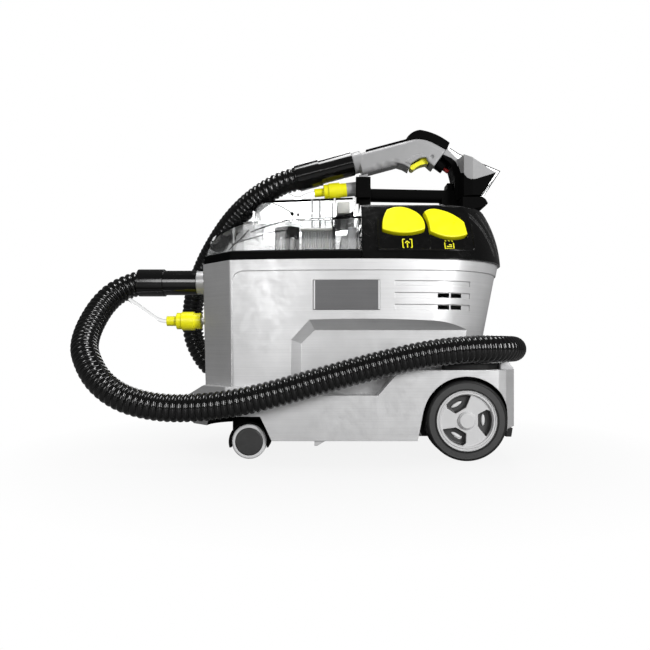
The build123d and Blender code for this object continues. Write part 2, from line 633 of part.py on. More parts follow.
def dome_block(shrink, foot):
    """The lid's outer form as a full solid: a sloped front, a shoulder and a raised air duct."""
    with BuildPart() as block:
        with BuildSketch(Plane.XZ):
            with BuildLine():
                Line((-214 + shrink, foot), (-212 + shrink, 306))
                ThreePointArc(
                    (-212 + shrink, 306), (-204 + shrink * 0.7, 322 - shrink * 0.7), (-182, 333 - shrink)
                )
                Polyline(
                    (-182, 333 - shrink),
                    (-148, 343 - shrink),
                    (LID_REAR - shrink, LID_TOP - shrink),
                    (LID_REAR - shrink, foot),
                    (-214 + shrink, foot),
                )
            make_face()
        extrude(amount=FAR_OUT, both=True)
        extrude(lid_plan(foot - 1, 3 + shrink, LID_REAR - shrink), amount=80, mode=Mode.INTERSECT)
        with BuildSketch(Plane.XZ) as duct:
            with BuildLine():
                Polyline(
                    (DUCT_FRONT + shrink, 320),
                    (DUCT_FRONT + 2 + shrink, DUCT_TOP - 6 - shrink),
                    (LID_REAR - 3 - shrink, DUCT_TOP - shrink),
                    (LID_REAR - 3 - shrink, 320),
                    close=True,
                )
            make_face()
            fillet(duct.vertices().group_by(Axis.Y)[-2:][0], DUCT_SOFT - shrink)
        extrude(amount=DUCT_HALF - shrink, both=True)
    return block.part


DUCT_RIBS = (-50.5, -38.0, -14.0)
DUCT_RIB, DUCT_RIB_LOW, DUCT_RIB_HIGH = 2.4, 350.0, 394.0
with BuildPart() as lid_dome:
    add(dome_block(0, GASKET_TOP))
    add(dome_block(LID_WALL, GASKET_TOP - 4), mode=Mode.SUBTRACT)
    # Inner ribs of the air duct
    with Locations(*[(place, 0, DUCT_RIB_LOW) for place in DUCT_RIBS]):
        Box(DUCT_RIB, 2 * DUCT_HALF - 4, DUCT_RIB_HIGH - DUCT_RIB_LOW, align=UPWARD)
save(lid_dome, "lid_dome")

# Float valve hung under the lid's shoulder

FLOAT_X, FLOAT_Y, FLOAT_R, FLOAT_GAP = -88.0, -88.0, 14.0, 0.3
CAGE_FOOT, CAGE_SEAT, CAGE_R, CAGE_BORE = 299.0, 339.0, 19.0, 16.0
CAGE_FLOOR = 3.0
with BuildPart() as float_cage:
    with Locations((FLOAT_X, FLOAT_Y, CAGE_FOOT)):
        Cylinder(CAGE_R, LID_TOP - CAGE_FOOT, align=UPWARD)
    add(dome_block(LID_WALL, CAGE_FOOT), mode=Mode.INTERSECT)
    with Locations((FLOAT_X, FLOAT_Y, CAGE_FOOT + CAGE_FLOOR)):
        Cylinder(CAGE_BORE, CAGE_SEAT - CAGE_FOOT - CAGE_FLOOR, align=UPWARD, mode=Mode.SUBTRACT)
    with Locations((FLOAT_X, FLOAT_Y, (CAGE_FOOT + CAGE_SEAT) / 2)):
        with PolarLocations(17, 6):
            Box(12, 8, 26, mode=Mode.SUBTRACT)
save(float_cage, "float_cage")

with BuildPart() as float_ball:
    with Locations((FLOAT_X, FLOAT_Y, CAGE_FOOT + CAGE_FLOOR + FLOAT_GAP + FLOAT_R)):
        Sphere(FLOAT_R)
save(float_ball, "float_ball")

# Motor cover with its ribs, buttons and switches

# Plan of the cover at three levels: level, rear, half width, tail radius
COVER_LEVELS = (
    (RIM_LEVEL, 248.0, 151.0, 112.0),
    (335.0, 241.0, 127.5, 95.0),
    (COVER_TOP, 224.0, 104.0, 78.0),
)


def cover_block(shrink, front):
    """The motor cover's form: square at the lid, round at the tail, sides leaning in."""
    sections = []
    for level, rear, half, radius in COVER_LEVELS:
        lift = -shrink if level == COVER_TOP else 0
        with BuildSketch(Plane.XY.offset(level + lift)) as plan:
            with BuildLine():
                Polyline(
                    (front, -half + shrink),
                    (rear - shrink, -half + shrink),
                    (rear - shrink, half - shrink),
                    (front, half - shrink),
                    close=True,
                )
            make_face()
            fillet(plan.vertices().sort_by(Axis.X)[-2:], radius - shrink)
        sections.append(plan.sketch)
    with BuildPart() as block:
        loft(sections)
    return block.part


LEAN = 26.565  # lean of the cover's sides, degrees from upright
SUCTION_TURN, SPRAY_TURN = 0.0, 10.0  # the second button turns with the round tail


def button_plane(x, y, turn):
    """Plane of a foot button: leaning with the cover's side, turned about the upright axis."""
    level, swing = cos(radians(LEAN)), radians(turn)
    out = (level * sin(swing), -level * cos(swing), sin(radians(LEAN)))
    return Plane(origin=(x, y, 335), x_dir=(cos(radians(turn)), sin(radians(turn)), 0), z_dir=out)


SUCTION_PLANE = button_plane(86, -127.5, SUCTION_TURN)
SPRAY_PLANE = button_plane(150, -125.0, SPRAY_TURN)
BUTTON_LOW, BUTTON_HIGH, BUTTON_SOFT, BUTTON_GAP = -8.0, 2.2, 1.6, 0.9
BUTTON_SHADE = 2.6  # how much wider the gap is under a button's foot


def suction_outline():
    """Outline of the suction button: a rounded arch on a bowed foot."""
    with BuildSketch() as outline:
        with BuildLine():
            ThreePointArc((-32, -2), (0, -9), (30, -2))
            ThreePointArc((30, -2), (27, 20), (13, 33.5))
            ThreePointArc((13, 33.5), (-5, 39), (-24, 33.5))
            ThreePointArc((-24, 33.5), (-30, 18), (-32, -2))
        make_face()
    return outline.sketch


def spray_outline():
    """Outline of the spray button, which slopes down with the tail."""
    with BuildSketch() as outline:
        with BuildLine():
            ThreePointArc((-28, -6), (3, -16), (29, -9.5))
            Line((29, -9.5), (28, 12))
            ThreePointArc((28, 12), (9, 28), (-10, 34.5))
            ThreePointArc((-10, 34.5), (-24, 33.5), (-32, 28))
            ThreePointArc((-32, 28), (-28, 12), (-28, -6))
        make_face()
    return outline.sketch


BUTTONS = (
    ("suction_button", SUCTION_PLANE, suction_outline()),
    ("spray_button", SPRAY_PLANE, spray_outline()),
)
FLUTES, FLUTE_PITCH, FLUTE_WIDE, FLUTE_DEPTH = 17, 13.0, 5.0, 2.5
FLUTE_X, FLUTE_LONG, FLUTE_FOOT, FLUTE_TOP = 232.0, 90.0, 298.0, 366.0
TROUGH_X, TROUGH_LONG, TROUGH_WIDE, TROUGH_DEEP = 107.0, 118.0, 76.0, 40.0
FIELD_DEPTH, FIELD_RISE, FIELD_SIZE, FIELD_CORNER = 1.2, 3.0, (74.0, 80.0), 6.0
POCKET_REACH = 27.0
BACK_DROP, BACK_SIZE = 15.0, (82.0, 52.0)

with BuildPart() as field_backs:
    # Wall behind the lower half of the sunk fields
    for face in (SUCTION_PLANE, SPRAY_PLANE):
        with BuildSketch(face.offset(-FIELD_DEPTH - COVER_WALL)):
            with Locations((0, -BACK_DROP)):
                Rectangle(*BACK_SIZE)
        extrude(amount=POCKET_REACH)
    add(cover_block(0, COVER_FRONT), mode=Mode.INTERSECT)

with BuildPart() as cover_flutes:
    with Locations(*[(FLUTE_X, (step - FLUTES // 2) * FLUTE_PITCH, FLUTE_FOOT) for step in range(FLUTES)]):
        Box(FLUTE_LONG, FLUTE_WIDE, FLUTE_TOP - FLUTE_FOOT, align=UPWARD)
    add(cover_block(FLUTE_DEPTH, COVER_FRONT), mode=Mode.SUBTRACT)

with BuildPart() as top_cover:
    add(cover_block(0, COVER_FRONT))
    fillet(top_cover.faces().sort_by(Axis.Z)[-1].edges().sort_by(Axis.X)[1:], 10)
    add(cover_block(COVER_WALL, COVER_FRONT + COVER_WALL), mode=Mode.SUBTRACT)
    add(cover_flutes.part, mode=Mode.SUBTRACT)
    add(field_backs.part)
    # Trough for the fingers under the handle bar
    with Locations((TROUGH_X, 0, COVER_TOP - 2)):
        Box(TROUGH_LONG, TROUGH_WIDE, TROUGH_DEEP, align=DOWNWARD)
        Box(
            TROUGH_LONG - 2 * COVER_WALL,
            TROUGH_WIDE - 2 * COVER_WALL,
            2 * (TROUGH_DEEP - COVER_WALL),
            mode=Mode.SUBTRACT,
        )
    # Sunk field around the buttons
    for face in (SUCTION_PLANE, SPRAY_PLANE):
        with BuildSketch(face.offset(-FIELD_DEPTH)):
            with Locations((0, FIELD_RISE)):
                RectangleRounded(*FIELD_SIZE, FIELD_CORNER)
        extrude(amount=POCKET_REACH, mode=Mode.SUBTRACT)
    for label, face, outline in BUTTONS:
        with BuildSketch(face.offset(-POCKET_REACH)):
            add(outline)
            with Locations((0, -BUTTON_SHADE)):
                add(outline)
            offset(amount=BUTTON_GAP)
        extrude(amount=2 * POCKET_REACH, mode=Mode.SUBTRACT)
save(top_cover, "top_cover")

for label, face, outline in BUTTONS:
    with BuildPart() as button:
        with BuildSketch(face.offset(BUTTON_LOW)):
            add(outline)
        extrude(amount=BUTTON_HIGH - BUTTON_LOW)
        fillet(button.faces().sort_by(Axis(face.origin, face.z_dir))[-1].edges(), BUTTON_SOFT)
    save(button, label)

with BuildPart() as switch_carrier:
    for face in (SUCTION_PLANE, SPRAY_PLANE):
        with BuildSketch(face.offset(-16)):
            Rectangle(56, 56)
        extrude(amount=3)
        with BuildSketch(face.offset(-36)):
            with Locations((0, 6)):
                Rectangle(28, 22)
        extrude(amount=20)
        # Foot that stands on the inside of the cover
        with BuildSketch(face.offset(-16)):
            with Locations((0, -25)):
                Rectangle(34, 6)
        extrude(amount=13.5)
    add(cover_block(COVER_WALL, COVER_FRONT + COVER_WALL), mode=Mode.INTERSECT)
    add(top_cover.part, mode=Mode.SUBTRACT)
save(switch_carrier, "switch_carrier")

# Carry handle, nozzle holder and tray

HANDLE_FOOT = COVER_TOP
POST_REAR = 190.0
with BuildPart() as carry_handle:
    with BuildSketch(Plane.XZ):
        with BuildLine():
            Polyline(
                (27, HANDLE_FOOT),
                (27, 407),
                (HOLDER_FRONT, 407),
                (HOLDER_FRONT, HOLDER_TOP),
                (44, HOLDER_TOP),
                (HOLDER_REAR, BAR_HIGH + 1),
                (172, BAR_HIGH - 1.5),
                (173, 433),
                (181, 433),
                (181, BAR_HIGH - 2),
                (POST_REAR, BAR_HIGH - 6),
                (POST_REAR, HANDLE_FOOT),
                (166, HANDLE_FOOT),
                (164, BAR_LOW - 1),
                (HOLDER_REAR, BAR_LOW + 1),
                (45, HANDLE_FOOT),
                close=True,
            )
        make_face()
    extrude(amount=BAR_HALF, both=True)
    lengthwise = carry_handle.edges().filter_by(lambda edge: abs((edge % 0).X) > 0.9)
    fillet(lengthwise.filter_by(lambda edge: edge.length > 80), 6)
    with Locations(((HOLDER_FRONT + HOLDER_REAR - 1) / 2, 0, 407)):
        Box(
            HOLDER_REAR - HOLDER_FRONT - 1,
            2 * HOLDER_HALF,
            HOLDER_TOP - 407,
            align=UPWARD,
        )
    with Locations((SLOT_REAR - 15, 0, SLOT_FLOOR)):
        Box(30, 2 * SLOT_HALF, 60, align=UPWARD, mode=Mode.SUBTRACT)
save(carry_handle, "carry_handle")

TRAY_HALF, TRAY_WALL, TRAY_SOFT = 50.0, 4.0, 2.0
TRAY_FOOT = COVER_TOP + 1
TRAY_PROFILE = (
    (POST_REAR, 401),
    (221.5, 401),
    (226.5, 397.5),
    (230.5, 390.5),
    (226, 386),
    (205, 381.5),
    (POST_REAR, TRAY_FOOT),
)
TRAY_HOLLOW = ((196, 402), (198, 391), (212, 390), (216, 395), (217.5, 402))
with BuildPart() as nozzle_tray:
    with BuildSketch(Plane.XZ):
        with BuildLine():
            Polyline(*TRAY_PROFILE, close=True)
        make_face()
    extrude(amount=TRAY_HALF, both=True)
    fillet(nozzle_tray.edges().filter_by(Axis.Y).sort_by(Axis.X)[-3:], TRAY_SOFT)
    # Hollow that the nozzle's lip lies in
    with BuildSketch(Plane.XZ):
        with BuildLine():
            Polyline(*TRAY_HOLLOW, close=True)
        make_face()
    extrude(amount=TRAY_HALF - TRAY_WALL, both=True, mode=Mode.SUBTRACT)
save(nozzle_tray, "nozzle_tray")

GLAND_STEPS = ((216.0, 225.0, GLAND_R), (225.0, 239.0, 13.0), (239.0, 250.0, 8.0), (250.0, 254.0, 7.0))
with BuildPart() as cord_gland:
    for start, end, radius in GLAND_STEPS:
        with BuildSketch(Plane.YZ.offset(start)):
            with Locations((GLAND_Y, GLAND_Z)):
                Circle(radius)
        extrude(amount=end - start)
    with BuildSketch(Plane.YZ.offset(GLAND_STEPS[0][0])):
        with Locations((GLAND_Y, GLAND_Z)):
            Circle(GLAND_BORE_R)
    extrude(amount=GLAND_STEPS[-1][1] - GLAND_STEPS[0][0], mode=Mode.SUBTRACT)
    add(body_shell.part, mode=Mode.SUBTRACT)
save(cord_gland, "cord_gland")

# Drive: frame, suction turbine and spray pump

TURBINE_X = 118.0
with BuildPart() as motor_frame:
    with BuildSketch(Plane.XY.offset(132)):
        with Locations((116, 0)):
            RectangleRounded(156, 232, 10)
        with Locations((TURBINE_X, 0)):
            Circle(30, mode=Mode.SUBTRACT)
    extrude(amount=5)
    add(body_shell.part, mode=Mode.SUBTRACT)
save(motor_frame, "motor_frame")

CASING_FOOT, CASING_TOP, CASING_R = 137.0, 262.0, 62.0
with BuildPart() as turbine_casing:
    with Locations((TURBINE_X, 0, CASING_FOOT)):
        Cylinder(CASING_R, 60, align=UPWARD)
        Cylinder(44, CASING_TOP - CASING_FOOT, align=UPWARD)
    with Locations((TURBINE_X, 0, CASING_FOOT + 4)):
        Cylinder(CASING_R - 4, 52, align=UPWARD, mode=Mode.SUBTRACT)
        Cylinder(38, CASING_TOP - CASING_FOOT - 8, align=UPWARD, mode=Mode.SUBTRACT)
    with Locations((TURBINE_X, 0, CASING_FOOT + 30)):
        Cylinder(5 + RUNNING, 300, mode=Mode.SUBTRACT)
    with Locations((TURBINE_X, 0, CASING_FOOT)):
        with PolarLocations(22, 6):
            Cylinder(7, 20, mode=Mode.SUBTRACT)
    with Locations((TURBINE_X, 0, CASING_TOP - 24)):
        with PolarLocations(42, 8):
            Box(14, 8, 24, mode=Mode.SUBTRACT)
save(turbine_casing, "turbine_casing")

BLADES = 9
with BuildPart() as turbine_rotor:
    with Locations((TURBINE_X, 0, CASING_FOOT)):
        Cylinder(5, CASING_TOP - CASING_FOOT, align=UPWARD)
    with Locations((TURBINE_X, 0, CASING_FOOT + 18)):
        Cylinder(50, 3, align=UPWARD)
    with Locations((TURBINE_X, 0, CASING_FOOT + 32)):
        with PolarLocations(29, BLADES):
            Box(38, 2, 24)
    with Locations((TURBINE_X, 0, CASING_FOOT + 62)):
        Cylinder(26, 40, align=UPWARD)
save(turbine_rotor, "turbine_rotor")

PUMP_X, PUMP_Y, PUMP_Z = 98.0, 90.0, 160.0
with BuildPart() as spray_pump:
    with Locations((PUMP_X, PUMP_Y, PUMP_Z)):
        Cylinder(20, 80, rotation=LENGTHWISE)
    with Locations((PUMP_X - 48, PUMP_Y, PUMP_Z)):
        Cylinder(13, 20, rotation=LENGTHWISE)
    with Locations((PUMP_X, PUMP_Y, CASING_FOOT)):
        Box(60, 30, 14, align=UPWARD)
save(spray_pump, "spray_pump")

# Connections on the front


def turned(plane, steps, bores=()):
    """A turned piece along the plane's own axis, from (start, end, radius) steps, less its bores."""
    with BuildPart() as made:
        for mode, stages in ((Mode.ADD, steps), (Mode.SUBTRACT, bores)):
            for start, end, radius in stages:
                with BuildSketch(plane.offset(start)):
                    Circle(radius)
                extrude(amount=end - start, mode=mode)
    return made


STUB_PLANE = Plane(origin=(RIM_FRONT, STUB_Y, STUB_Z), x_dir=(0, 1, 0), z_dir=(-1, 0, 0))
SPRAY_FRONT = -214.75
NIPPLE_PLANE = Plane(origin=(SPRAY_FRONT, SPRAY_Y, SPRAY_Z), x_dir=(0, 1, 0), z_dir=(-1, 0, 0))
CUFF_NEAR, CUFF_STEP, CUFF_FAR = 18.0, 71.0, 112.0  # distances out from the housing's front

COUPLING_GAP, PIN_END = 10.2, 28.0
COUPLING_END = 54.0
PIN_R, DUCT_R = 4.0, 2.0

STUB_TIP = 48.0
stub_turning = turned(
    STUB_PLANE,
    ((-11, -2, 16), (-2, CUFF_NEAR, 18.5), (CUFF_NEAR, STUB_TIP, CUFF_BORE_R - RUNNING)),
    ((-11, STUB_TIP, 13),),
)
with BuildPart() as suction_stub:
    add(stub_turning.part)
    add(body_shell.part, mode=Mode.SUBTRACT)
save(suction_stub, "suction_stub")

nipple_turning = turned(
    NIPPLE_PLANE,
    ((-8, -1, 5), (-1, 4, 9), (4, COUPLING_GAP, 5.5), (COUPLING_GAP, PIN_END, PIN_R)),
    ((-8, PIN_END, DUCT_R),),
)
with BuildPart() as spray_nipple:
    add(nipple_turning.part)
    add(body_shell.part, mode=Mode.SUBTRACT)
save(spray_nipple, "spray_nipple")

machine_cuff = turned(
    STUB_PLANE,
    ((CUFF_NEAR, CUFF_STEP, CUFF_THIN_R), (CUFF_STEP, CUFF_FAR, CUFF_THICK_R)),
    ((CUFF_NEAR, CUFF_FAR, CUFF_BORE_R),),
)
save(machine_cuff, "machine_cuff")

machine_coupling = turned(
    NIPPLE_PLANE.offset(COUPLING_GAP),
    ((0, 11, 12.5), (11, 30, 14.6), (30, 38, 13), (38, COUPLING_END, 7.8)),
    ((0, PIN_END - COUPLING_GAP, PIN_R + RUNNING), (0, COUPLING_END, DUCT_R)),
)
save(machine_coupling, "machine_coupling")

# Hand nozzle, parked on the handle

ALONG = (cos(radians(NOZZLE_TILT)), 0, sin(radians(NOZZLE_TILT)))
CUFF_PLANE = Plane(origin=CUFF_MIDDLE, x_dir=(0, 1, 0), z_dir=ALONG)
CUFF_START = -44.3
COLLAR_START = 52.0
nozzle_cuff = turned(
    CUFF_PLANE,
    ((CUFF_START, -4.3, 21.5), (-4.3, COLLAR_START, 19.3)),
    ((CUFF_START, COLLAR_START, CUFF_BORE_R),),
)
save(nozzle_cuff, "nozzle_cuff")

COUPLING_PLANE = Plane(
    origin=COUPLING_TAIL,
    x_dir=(0, 1, 0),
    z_dir=(cos(radians(COUPLING_TILT)), 0, sin(radians(COUPLING_TILT))),
)
ELBOW_PIN = 36.0
nozzle_coupling = turned(
    COUPLING_PLANE,
    ((0, 16, 6.8), (16, 24, 12), (24, 43, 13.4), (43, COUPLING_END, 11.5)),
    ((ELBOW_PIN, COUPLING_END, PIN_R), (0, COUPLING_END, DUCT_R)),
)
save(nozzle_coupling, "nozzle_coupling")

PIVOT_R = 1.9
TRIGGER_PIVOT = (139, 0, 477)
GRIP_HALF, GRIP_SOFT, COLLAR_R = 17.0, 9.0, 17.5
SCREW_PLACE, SCREW_R, SCREW_DEEP = (147.1, -GRIP_HALF, 475.7), 2.6, 3.0
GRIP_TOP = ((103, 503), (116, 506.5), (129, 507), (142, 504), (157, 497), (172, 489))
GRIP_START = (24, 482.4)
with BuildPart() as nozzle_handle:
    with BuildSketch(Plane.XZ):
        with BuildLine():
            Line(GRIP_START, GRIP_TOP[0])
            Spline(*GRIP_TOP)
            Polyline(
                GRIP_TOP[-1],
                (163, 477),
                (150, 459.5),
                (141, 467.5),
                (137, 475),
                (126, 473),
                (112, 464),
                (110, 457),
                (101, 462.5),
                (94, 464.5),
                (44, 451),
                (32, 448),
                GRIP_START,
            )
        make_face()
    extrude(amount=GRIP_HALF, both=True)
    long_edges = nozzle_handle.edges().filter_by(lambda e: abs((e % 0).Y) < 0.1)
    fillet(long_edges.filter_by(lambda e: e.length > 45), GRIP_SOFT)
    # Round collar in front, with the spigot that the cuff slips over
    with BuildSketch(CUFF_PLANE.offset(COLLAR_START)):
        Circle(COLLAR_R)
    extrude(amount=16)
    with BuildSketch(CUFF_PLANE.offset(COLLAR_START - 22)):
        Circle(CUFF_BORE_R - RUNNING)
    extrude(amount=30)
    # Slot for the trigger
    with Locations((125.5, 0, 450)):
        Box(37, 19.4, 30, align=UPWARD, mode=Mode.SUBTRACT)
    with Locations(TRIGGER_PIVOT):
        Cylinder(PIVOT_R, 2 * GRIP_HALF - 4, rotation=ACROSS, mode=Mode.SUBTRACT)
    # Sunk screw on the near side
    with Locations(SCREW_PLACE):
        Cylinder(SCREW_R, 2 * SCREW_DEEP, rotation=ACROSS, mode=Mode.SUBTRACT)
save(nozzle_handle, "nozzle_handle")

CAP_HALF = 13.0
with BuildPart() as grip_cap:
    # Hump over the trigger, rounded along its top
    with BuildSketch(Plane.XZ):
        with BuildLine():
            Spline(*GRIP_TOP)
            Line(GRIP_TOP[-1], (177, 500))
            ThreePointArc((177, 500), (155, 513.5), (128, 521.5))
            ThreePointArc((128, 521.5), (113, 516), (103, 503))
        make_face()
    extrude(amount=CAP_HALF, both=True)
    # Thin strip along the top of the grip
    with BuildSketch(Plane.XZ):
        with BuildLine():
            Polyline((104, 503.3), (106, 507.5), (38, 489.4), (38, 486.1), close=True)
        make_face()
    extrude(amount=CAP_HALF - 3, both=True)
save(grip_cap, "grip_cap")

with BuildPart() as trigger:
    with BuildSketch(Plane.XZ):
        with BuildLine():
            Polyline((141.5, 479), (137, 479), (127, 471.5), (113, 463.5))
            ThreePointArc((113, 463.5), (112.2, 458.5), (117.5, 456.5))
            ThreePointArc((117.5, 456.5), (128, 463.5), (142, 466.5))
            Line((142, 466.5), (141.5, 479))
        make_face()
    extrude(amount=9, both=True)
    with Locations(TRIGGER_PIVOT):
        Cylinder(PIVOT_R + RUNNING, 30, rotation=ACROSS, mode=Mode.SUBTRACT)
save(trigger, "trigger")

with BuildPart() as trigger_pin:
    with Locations(TRIGGER_PIVOT):
        Cylinder(PIVOT_R, 28, rotation=ACROSS)
save(trigger_pin, "trigger_pin")

with BuildPart() as spray_elbow:
    with BuildSketch(Plane.XZ):
        with BuildLine():
            Polyline((27, 420), (41.5, 420), (41.5, 450.375), (32, 448), (27, 448), close=True)
        make_face()
    extrude(amount=8, both=True)
    with BuildSketch(COUPLING_PLANE.offset(COUPLING_END)):
        Circle(11.5)
    extrude(amount=24)
    with BuildSketch(COUPLING_PLANE.offset(ELBOW_PIN)):
        Circle(PIN_R - RUNNING)
    extrude(amount=COUPLING_END - ELBOW_PIN)
save(spray_elbow, "spray_elbow")

# Half widths of the nozzle along its length: its body with the black throat, and its clear hood
NOZZLE_PLAN = ((150, 17), (189, 18), (192, 49), (205, 54), (260, 55))
HOOD_PLAN = ((160, 14.5), (172, 17), (190, 18), (248.5, 55), (260, 55))
MOUTH_FOOT, MOUTH_TOP, MOUTH_REACH = 380.0, 510.0, 80.0


def mouth_piece(points, outline):
    """A form of the nozzle's mouth seen from the side, within half widths that flare to the lips."""
    with BuildPart() as made:
        with BuildSketch(Plane.XZ):
            with BuildLine():
                Polyline(*points, close=True)
            make_face()
        extrude(amount=MOUTH_REACH, both=True)
        with BuildSketch(Plane.XY.offset(MOUTH_FOOT)):
            with BuildLine():
                Polyline(*outline, *[(x, -y) for x, y in reversed(outline)], close=True)
            make_face()
        extrude(amount=MOUTH_TOP - MOUTH_FOOT, mode=Mode.INTERSECT)
    return made


NECK = (
    (164.8, 479.4),
    (179, 473),
    (186, 466.5),
    (189.5, 458),
    (190.5, 444),
    (193, 436.5),
    (197, 431.2),
    (202, 428.4),
    (209, 428.3),
    (242.5, 438.5),
)
THROAT = ((219.5, 403), (187, 403), (184, 422), (184, 440), (181, 452), (178, 463), (163.3, 477.4))
JET_TILT = -36.6  # square to the rear edge of the grip
JET_PLANE = Plane(
    origin=(157.51, 0, 469.62),
    x_dir=(0, 1, 0),
    z_dir=(cos(radians(JET_TILT)), 0, sin(radians(JET_TILT))),
)
JET_R, JET_FROM, JET_TO, NUT_R, NUT_GAP = 3.4, 15.0, 24.0, 9.5, 0.3
NOTCH_HALF, NOTCH_MIDDLE, NOTCH_LONG, NOTCH_TOP = BAR_HALF + 1.2, 171.0, 42.0, 435.0

mouth_base = mouth_piece((*NECK, *THROAT), NOZZLE_PLAN)
with BuildPart() as notched_base:
    add(mouth_base.part)
    # Room for the handle's rear post, and the bore of the jet
    with Locations((NOTCH_MIDDLE, 0, NOTCH_TOP)):
        Box(NOTCH_LONG, 2 * NOTCH_HALF, NOTCH_TOP - MOUTH_FOOT, align=DOWNWARD, mode=Mode.SUBTRACT)
    with BuildSketch(JET_PLANE.offset(JET_FROM)):
        Circle(JET_R)
    extrude(amount=JET_TO - JET_FROM, mode=Mode.SUBTRACT)
    with BuildSketch(JET_PLANE):
        Circle(NUT_R + NUT_GAP)
    extrude(amount=JET_FROM + NUT_GAP, mode=Mode.SUBTRACT)
save(notched_base, "mouth_base")

MOUTH_RIDGE = ((172, 489), (190.5, 470), (203, 464), (233, 443.5))
mouth_body = mouth_piece((*MOUTH_RIDGE, *reversed(NECK)), NOZZLE_PLAN)
save(mouth_body, "mouth_body")

# Thin clear hood: a plate over the mouth's top and a lip along its opening
HOOD_CORNER, HOOD_INNER = (248.5, 440.5), (246.5, 440.1)
HOOD_TOP = ((172, 489), (173.37, 492), HOOD_CORNER, HOOD_INNER, (175, 489.06), (174.4, 487.25))
HOOD_LIP = (HOOD_CORNER, (223, 401.5), (219.5, 403), (221.12, 405.5), (223.4, 404.8), HOOD_INNER)
hood_plate = mouth_piece(HOOD_TOP, HOOD_PLAN)
hood_lip = mouth_piece(HOOD_LIP, NOZZLE_PLAN)
with BuildPart() as mouth_cover:
    add(hood_plate.part)
    add(hood_lip.part)
save(mouth_cover, "mouth_cover")

with BuildPart() as union_nut:
    with BuildSketch(JET_PLANE):
        RegularPolygon(NUT_R, 12)
    extrude(amount=JET_FROM)
save(union_nut, "union_nut")

with BuildPart() as spray_jet:
    with BuildSketch(JET_PLANE.offset(JET_FROM)):
        Circle(JET_R)
    extrude(amount=JET_TO - JET_FROM)
save(spray_jet, "spray_jet")

# Suction hose: cuff, loop in front, along the near side, round the tail, back and up to the nozzle

HOSE_END = CUFF_PLANE.offset(CUFF_START).origin
HOSE_ROUTE = [
    (RIM_FRONT - CUFF_FAR, STUB_Y, STUB_Z),
    (-358, -47, 254),
    (-379, -66, 228),
    (-387, -98, 192),
    (-384, -126, 165),
    (-372, -150, 146),
    (-350, -168, 116),
    (-318, -178, 93),
    (-278, -182, 80),
    (-229, -183, 75.5),
    (-160, -184, 82),
    (-98, -183, 96.5),
    (-30, -178, 116),
    (40, -174, 135),
    (110, -172, 151),
    (172, -164, 158),
    (227, -138, 158.5),
    (262, -86, 158),
    (272, -28, 157.5),
    (272, 28, 157.5),
    (262, 86, 158),
    (227, 138, 158.5),
    (172, 164, 157),
    (110, 173, 150),
    (40, 175, 134),
    (-30, 178, 115),
    (-98, 182, 98),
    (-160, 181, 90),
    (-216, 175, 96),
    (-258, 164, 124),
    (-282, 153, 168),
    (-287, 148, 212),
    (-278, 134, 262),
    (-254, 108, 312),
    (-222, 78, 355),
    (-189, 48, 388),
    (-156, 24, 411),
    (-126, 7, 426),
    (HOSE_END.X - 22 * ALONG[0], 0, HOSE_END.Z - 22 * ALONG[2]),
    (HOSE_END.X, 0, HOSE_END.Z),
]
MACHINE_LINE_ROUTE = [
    (-347.5, -51, 240.5),
    (-327, -55, 228),
    (-306, -59, 212.5),
    (-290, SPRAY_Y, SPRAY_Z),
    (SPRAY_FRONT - COUPLING_GAP - COUPLING_END, SPRAY_Y, SPRAY_Z),
]
LINE_END = COUPLING_PLANE.offset(-10).origin
NOZZLE_LINE_ROUTE = [
    (-171, 44, 416.5),
    (-157, 35, 434),
    (-138, 24, 444.5),
    (-114, 32, 437),
    (-92, 24, 421),
    (-74, 8, 411.5),
    (LINE_END.X, LINE_END.Y, LINE_END.Z),
    COUPLING_TAIL,
]


def cord_radii(route):
    """Bend radii of a route: as large as the shorter run at each point allows."""
    points = [Vector(*p) for p in route]
    radii = []
    for before, here, after in zip(points, points[1:], points[2:]):
        turn = (here - before).get_angle(after - here)
        shorter = min((here - before).length, (after - here).length)
        radii.append(0.45 * shorter / tan(radians(turn / 2)))
    return radii


def cord(route, radius, wall):
    """A tube along a route of straight runs joined by arcs."""
    radii = cord_radii(route)
    with BuildPart() as made:
        with BuildLine() as path:
            FilletPolyline(*route, radius=radii)
        with BuildSketch(Plane(path.line @ 0, z_dir=path.line % 0)) as section:
            Circle(radius)
            if wall:
                Circle(radius - wall, mode=Mode.SUBTRACT)
        sweep(path=path.line)
    length = path.wires()[0].length
    share = made.part.volume / (section.sketch.area * length)
    print(f"length {length:.0f} volume share {share:.4f} radii", *[f"{bend:.0f}" for bend in radii])
    return made


suction_hose = cord(HOSE_ROUTE, HOSE_R, HOSE_WALL)
save(suction_hose, "suction_hose")
machine_spray_line = cord(MACHINE_LINE_ROUTE, LINE_R, 0)
save(machine_spray_line, "machine_spray_line")
nozzle_spray_line = cord(NOZZLE_LINE_ROUTE, LINE_R, 0)
save(nozzle_spray_line, "nozzle_spray_line")
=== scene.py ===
"""Looks of a carpet cleaner machine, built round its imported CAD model."""

from __future__ import annotations

import json
import logging
import math
from dataclasses import dataclass
from enum import Enum

